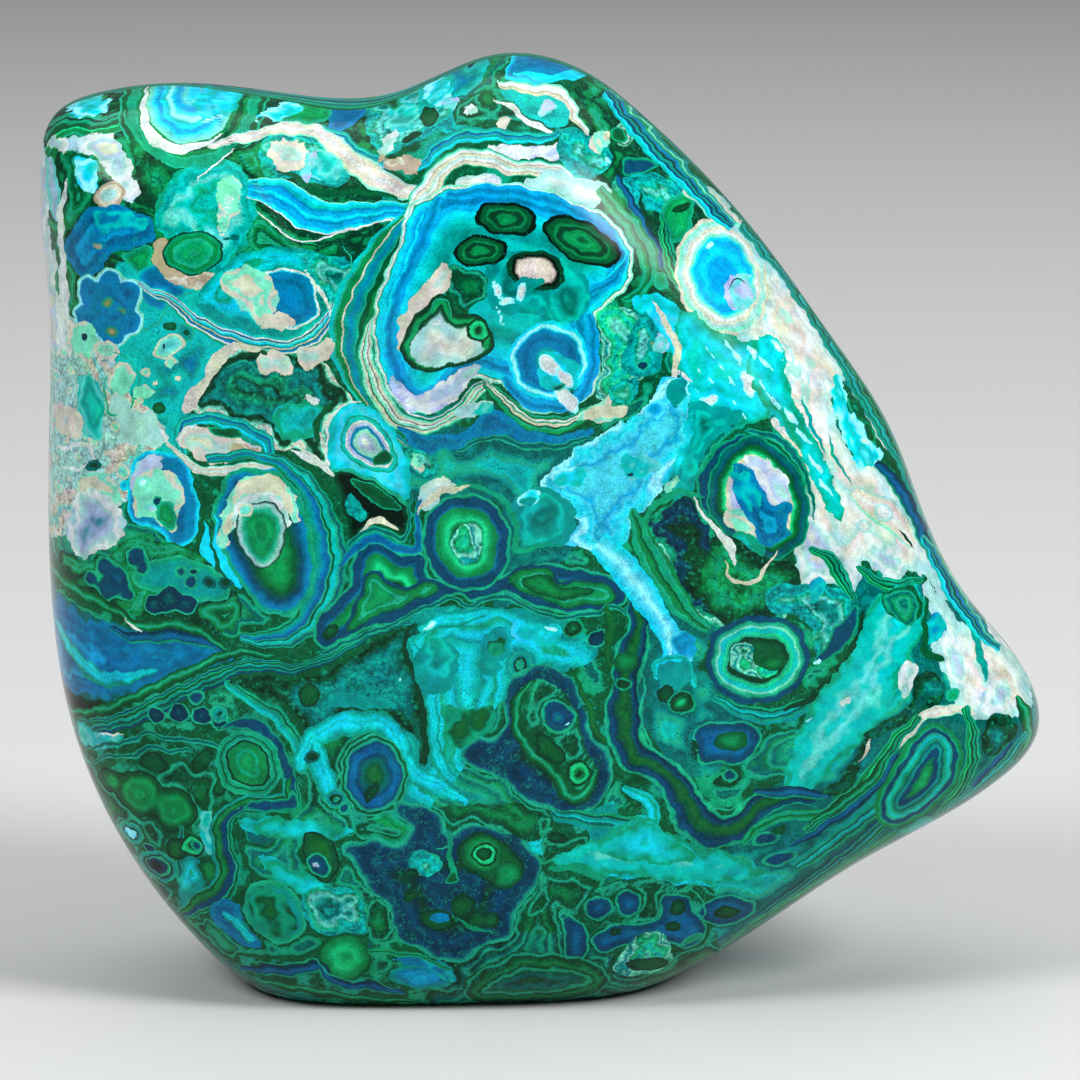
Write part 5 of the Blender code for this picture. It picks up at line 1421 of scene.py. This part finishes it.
class Board:
    # Adds nodes to one material: node type, settings or a ramp's stops, then socket values or links.
    def __init__(self, name):
        self.material = bpy.data.materials.new(name)
        self.material.use_nodes = True
        self.tree = self.material.node_tree
        self.tree.nodes.clear()

    def node(self, kind, settings=None, inputs=None):
        made = self.tree.nodes.new(kind)
        for name, value in (settings or {}).items():
            if name == "stops":
                self.setStops(made.color_ramp.elements, value)
            else:
                setattr(made, name, value)
        for name, value in (inputs or {}).items():
            if isinstance(value, Value):
                self.tree.links.new(value.socket, made.inputs[name])
            else:
                made.inputs[name].default_value = value
        return [Value(self, socket) for socket in made.outputs]

    def mixColour(self, factor, one, two, blend="MIX"):
        # Colour sockets of the Mix node stand at 6 and 7, and its colour result at 2.
        settings = {"data_type": "RGBA", "blend_type": blend}
        return self.node("ShaderNodeMix", settings, {0: factor, 6: one, 7: two})[2]

    def mixVector(self, factor, one, two):
        # Vector sockets of the Mix node stand at 4 and 5, and its vector result at 1.
        return self.node("ShaderNodeMix", {"data_type": "VECTOR"}, {0: factor, 4: one, 5: two})[1]

    def mixNumber(self, factor, one, two):
        return self.node("ShaderNodeMix", {"data_type": "FLOAT"}, {0: factor, 2: one, 3: two})[0]

    def noise(self, place, scale, octaves, roughness, dimensions="3D"):
        inputs = {"Scale": scale, "Detail": octaves, "Roughness": roughness}
        inputs["W" if dimensions == "1D" else "Vector"] = place
        return self.node("ShaderNodeTexNoise", {"noise_dimensions": dimensions}, inputs)[0]

    def voronoi(self, place, scale):
        # Distance is the first output, and the cell's random colour is the second.
        return self.node("ShaderNodeTexVoronoi", None, {"Vector": place, "Scale": scale})

    def setStops(self, elements, stops):
        # Each stop is a position and a linear colour.
        while len(elements) < len(stops):
            elements.new(1.0)
        for element, (position, colour) in zip(list(elements), stops):
            element.position = position
            element.color = colour


class Group(Board):
    # A board whose tree is a node group, with named float and colour sockets.
    def __init__(self, name, inputs, outputs):
        self.tree = bpy.data.node_groups.new(name, "ShaderNodeTree")
        for direction, sockets in (("INPUT", inputs), ("OUTPUT", outputs)):
            for title, kind in sockets.items():
                self.tree.interface.new_socket(title, in_out=direction, socket_type=kind)
        self.given = self.node("NodeGroupInput")


def linear(hexText):
    # A hex colour in linear light: ((value + 0.055) / 1.055) to the power 2.4 above 0.04045.
    values = [int(hexText[first:first + 2], 16) / 255 for first in (0, 2, 4)]
    return tuple(v / 12.92 if v <= 0.04045 else ((v + 0.055) / 1.055) ** 2.4 for v in values) + (1.0,)


cellDepth = 12.0        # mm of depth under a cell's edge that its ramp covers


def bandStops(text, across):
    # A crisp band has a stop just inside each of its ends, and a blended one a single stop at its middle.
    bands = [one.split() for one in text.split(", ")]
    total = sum(float(width) for _, width in bands) if across else cellDepth
    start, stops = 0.0, []
    for number, (name, width) in enumerate(bands):
        width = float(width)
        colour = linear(colours[name.lstrip("~")])
        edge = min(0.05, 0.2 * width)
        if name.startswith("~"):
            stops.append(((start + width / 2) / total, colour))
        else:
            stops.append(((start + edge) / total, colour))
            if across or number < len(bands) - 1:
                stops.append(((start + width - edge) / total, colour))
        start += width
    return [(min(position, 1.0), colour) for position, colour in stops]


def growthColour(name, stops, number):
    # One kind's ramp, mixed over the colour so far where the kind is its own.
    inputs = {"place": "NodeSocketFloat", "kind": "NodeSocketFloat", "under": "NodeSocketColor"}
    group = Group(name, inputs, {"colour": "NodeSocketColor"})
    where, kind, under = group.given[:3]
    here = kind.math("COMPARE", number, 0.3)
    own = group.node("ShaderNodeValToRGB", {"stops": stops}, {0: where})[0]
    group.node("NodeGroupOutput", None, {0: group.mixColour(here, under, own)})
    return group.tree


def polishedStone(kindNumber, firstOf):
    board = Board("azuriteMalachite")
    coordinates = board.node("ShaderNodeTexCoord")[3]
    place = board.node("ShaderNodeVectorMath", {"operation": "SCALE"}, {0: coordinates, "Scale": 1000.0})[0]
    noises = {name: board.noise(place, *noise) for name, noise in look["noises"].items()}
    swerve, jags, mottle = noises["swerve"], noises["jags"], noises["mottle"]
    drift, finer, speckle = [noises[name] - 0.5 for name in ("drift", "finer", "speckle")]
    waver = (swerve - 0.5) * (2 * look["wobble"]) + (jags - 0.5) * look["ragged"]
    scallopDepth, scallopScale = look["scallop"]
    scallop = (board.voronoi(place, scallopScale)[0] - 0.4) * scallopDepth

    # The slots lie over the ground, lowest first, and what shows carries (ramp place, kind, flow).
    ground = drift + 0.5
    state = board.node("ShaderNodeCombineXYZ", None, {0: ground, 1: float(kindNumber["seaMix"]), 2: 0.0})[0]
    for slot in range(laying["slots"], 0, -1):
        layer = board.node("ShaderNodeAttribute", {"attribute_name": f"layer{slot}"})[1]
        cover, band, kind = board.node("ShaderNodeSeparateXYZ", None, {0: layer})
        kind = kind + 0.1
        flowing = kind.math("FRACT") > 0.35
        frayed = kind > firstOf["spray"][0] - 0.5
        edge = waver + (waver + scallop) * (frayed * look["fray"])
        within = 1.0 - (band + edge * 0.2).math("ABSOLUTE")
        shown = board.mixNumber(flowing, cover + edge, cover.math("MINIMUM", within)) > 0.0
        cellPlace = (band + waver) / cellDepth
        flowPlace = (band + waver * 0.1) * 0.5 + 0.5
        here = board.node("ShaderNodeCombineXYZ", None, {
            0: board.mixNumber(flowing, cellPlace, flowPlace),
            1: kind.math("FLOOR"),
            2: flowing,
        })[0]
        state = board.mixVector(shown, state, here)
    where, kind, flowing = board.node("ShaderNodeSeparateXYZ", None, {0: state})

    def inGroup(name):
        first, last = firstOf[name]
        return (kind > first - 0.5) * (kind < last + 0.5)

    swirling = inGroup("swirl")
    druse = inGroup("druse")
    spray = inGroup("spray")
    cloud = inGroup("cloud")
    where = where + swirling * (drift * (2 * look["swirl"]) + finer * look["swirl"]) / cellDepth
    slow, fine = look["cloudDrift"]
    where = where + (druse + spray + cloud) * (drift * slow + finer * fine) / cellDepth
    # Drifted growth folds back at its edge, so that it never runs off its ramp.
    where = board.mixNumber(swirling + druse + spray + cloud, where, where.math("ABSOLUTE"))

    colour = board.node("ShaderNodeRGB")[0]
    for group in kinds.values():
        for name, text in group.items():
            step = growthColour(name, bandStops(text, name in flowKinds), float(kindNumber[name]))
            colour = board.node("ShaderNodeGroup", {"node_tree": step}, {0: where, 1: kind, 2: colour})[0]

    # Fine growth lines that follow the bands, then mottling, specks and crystals.
    lines, shift, bend = look["grainLines"]
    grain = board.noise(where * lines + kind * shift + swerve * bend, 1.0, 2.0, 0.7, "1D") - 0.5
    shade = 1.0 + grain * (2 * look["grain"]) + (mottle - 0.5) * look["mottle"]
    shade = shade + speckle * look["speckle"] * (1.0 - cloud * 0.6)
    cells, cellColour = board.voronoi(place, look["crystals"])[:2]
    tone = board.node("ShaderNodeSeparateXYZ", None, {0: cellColour})[0] - 0.5
    differ, darken = look["druse"]
    shade = shade + druse * (tone * differ - (cells - 0.3) * darken)
    shade = shade + spray * (tone * look["spray"])
    colour = board.node("ShaderNodeVectorMath", {"operation": "SCALE"}, {0: colour, "Scale": shade})[0]
    warmth = (drift * 2.4 + finer * 2.0) * look["hueShift"]
    tint = board.node("ShaderNodeCombineXYZ", None, {0: 1.0, 1: 1.0 + warmth, 2: 1.0 - warmth * 1.5})[0]
    colour = board.mixColour(1.0, colour, tint, "MULTIPLY")

    # Pale cracks, crystals, flecks and veins, and dark veins.
    def lineAt(value, middle, half):
        return (value - middle).math("ABSOLUTE") < half

    crackWidth, crackStrength = look["crack"]
    veinPlace, veinWidth, veinStrength = look["vein"]
    shadowPlace, shadowWidth, shadowStrength = look["shadow"]
    crack = spray * (lineAt(swerve, 0.5, crackWidth) * (1.0 - flowing)) * crackStrength
    paleCrystal = druse * (tone > 0.42) * look["paleCrystal"]
    fleck = (cells < 0.2) * (tone > 0.3) * look["fleck"]
    vein = lineAt(mottle, veinPlace, veinWidth) * swirling * (swerve > 0.42) * veinStrength
    colour = board.mixColour(crack + paleCrystal + fleck + vein, colour, linear(colours["jade"]))
    shadow = lineAt(mottle, shadowPlace, shadowWidth) * swirling * shadowStrength
    colour = board.mixColour(shadow, colour, linear(colours["pine"]))

    least, most = look["roughness"]
    roughness = least + (drift + 0.5) * (most - least)
    shader = board.node("ShaderNodeBsdfPrincipled", None, {
        "Base Color": colour,
        "Roughness": roughness + (druse + spray) * look["druseRoughness"],
        "IOR": look["ior"],
        "Specular IOR Level": look["specular"],
    })[0]
    board.node("ShaderNodeOutputMaterial", None, {"Surface": shader})
    return board.material


points, frontFaces, backFaces = stoneSurface()
print("surface:", len(points), "points,", len(frontFaces) + len(backFaces), "triangles")

kindNumber = {}
firstOf = {}
for groupName, group in kinds.items():
    firstOf[groupName] = (len(kindNumber), len(kindNumber) + len(group) - 1)
    for name in group:
        kindNumber[name] = len(kindNumber)

# Halo kinds ring whatever grew over them, and calm kinds start no such rings.
edge = edgeLayers()
haloKinds = set(kinds["swirl"]) - {"blueMix", "navyPool"}
calmKinds = haloKinds | set(kinds["cloud"]) | {"cyanGlow", "whiteLine", "creamLine", "whiteSpot", "girdle"}
backLayers = [turnedOver(layer) for layer in frontLayers]
corner = np.concatenate([
    layFaces(points, frontFaces, frontLayers + edge),
    layFaces(points, backFaces, backLayers + edge),
], axis=1)
print("growth:", len(frontLayers), "layers on each face,", len(edge), "on the edge")

# The mesh keeps each slot's growth at the corners of its faces.
faces = np.vstack([frontFaces, backFaces])
mesh = bpy.data.meshes.new("polishedStone")
mesh.vertices.add(len(points))
mesh.vertices.foreach_set("co", (points * mm).astype(np.float32).ravel())
mesh.loops.add(len(faces) * 3)
mesh.loops.foreach_set("vertex_index", faces.astype(np.int32).ravel())
mesh.polygons.add(len(faces))
mesh.polygons.foreach_set("loop_start", np.arange(len(faces), dtype=np.int32) * 3)
mesh.polygons.foreach_set("use_smooth", np.ones(len(faces), bool))
mesh.update(calc_edges=True)
for slot in range(laying["slots"]):
    layer = mesh.attributes.new(f"layer{slot + 1}", "FLOAT_VECTOR", "CORNER")
    layer.data.foreach_set("vector", corner[slot].ravel())
mesh.materials.append(polishedStone(kindNumber, firstOf))
stone = bpy.data.objects.new("polishedStone", mesh)
bpy.context.collection.objects.link(stone)
print("material:", len(kindNumber), "kinds of growth")

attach(stone, "root")
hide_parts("stone")

studio = {
    "floor": (0.58, 0.58, 0.58, 1.0),
    "world": (0.82, 0.84, 0.86, 1.0),
    "worldStrength": 0.16,
    "lights": (     # place, size and power of each softbox
        ((-0.9, -0.75, 1.2), 0.55, 16.5),
        ((1.0, -0.7, 1.0), 0.5, 22.0),
        ((0.1, 0.3, 2.0), 2.4, 25.0),
    ),
    "camera": (-0.00051, -0.6106, 0.1614),      # 10 degrees above the stone's middle
    "aim": (-0.00051, 0.0, 0.05372),
    "lens": 171.06,         # mm, behind a sensor 36 mm wide
}

floorMesh = bpy.data.meshes.new("floor")
floorMesh.from_pydata([(-6, -4, 0), (6, -4, 0), (6, 8, 0), (-6, 8, 0)], [], [(0, 1, 2, 3)])
floor = bpy.data.objects.new("floor", floorMesh)
bpy.context.collection.objects.link(floor)
floorBoard = Board("paleFloor")
floorInputs = {"Base Color": studio["floor"], "Roughness": 0.6}
floorShader = floorBoard.node("ShaderNodeBsdfPrincipled", None, floorInputs)[0]
floorBoard.node("ShaderNodeOutputMaterial", None, {"Surface": floorShader})
floorMesh.materials.append(floorBoard.material)

world = bpy.data.worlds.new("studio")
bpy.context.scene.world = world
world.use_nodes = True
background = world.node_tree.nodes["Background"]
background.inputs[0].default_value = studio["world"]
background.inputs[1].default_value = studio["worldStrength"]


def aimed(data, place, aim):
    # Turns -Z of the object towards the aim.
    made = bpy.data.objects.new(data.name, data)
    made.location = place
    made.rotation_euler = (Vector(aim) - Vector(place)).to_track_quat("-Z", "Y").to_euler()
    bpy.context.collection.objects.link(made)
    return made


for number, (place, size, power) in enumerate(studio["lights"]):
    light = bpy.data.lights.new(f"softbox{number}", "AREA")
    light.size = size
    light.energy = power
    aimed(light, place, studio["aim"])

lens = bpy.data.cameras.new("camera")
lens.lens = studio["lens"]
lens.sensor_width = 36.0
bpy.context.scene.camera = aimed(lens, studio["camera"], studio["aim"])
bpy.context.scene.view_settings.view_transform = "Standard"
print("studio: floor,", len(studio["lights"]), "softboxes and camera")
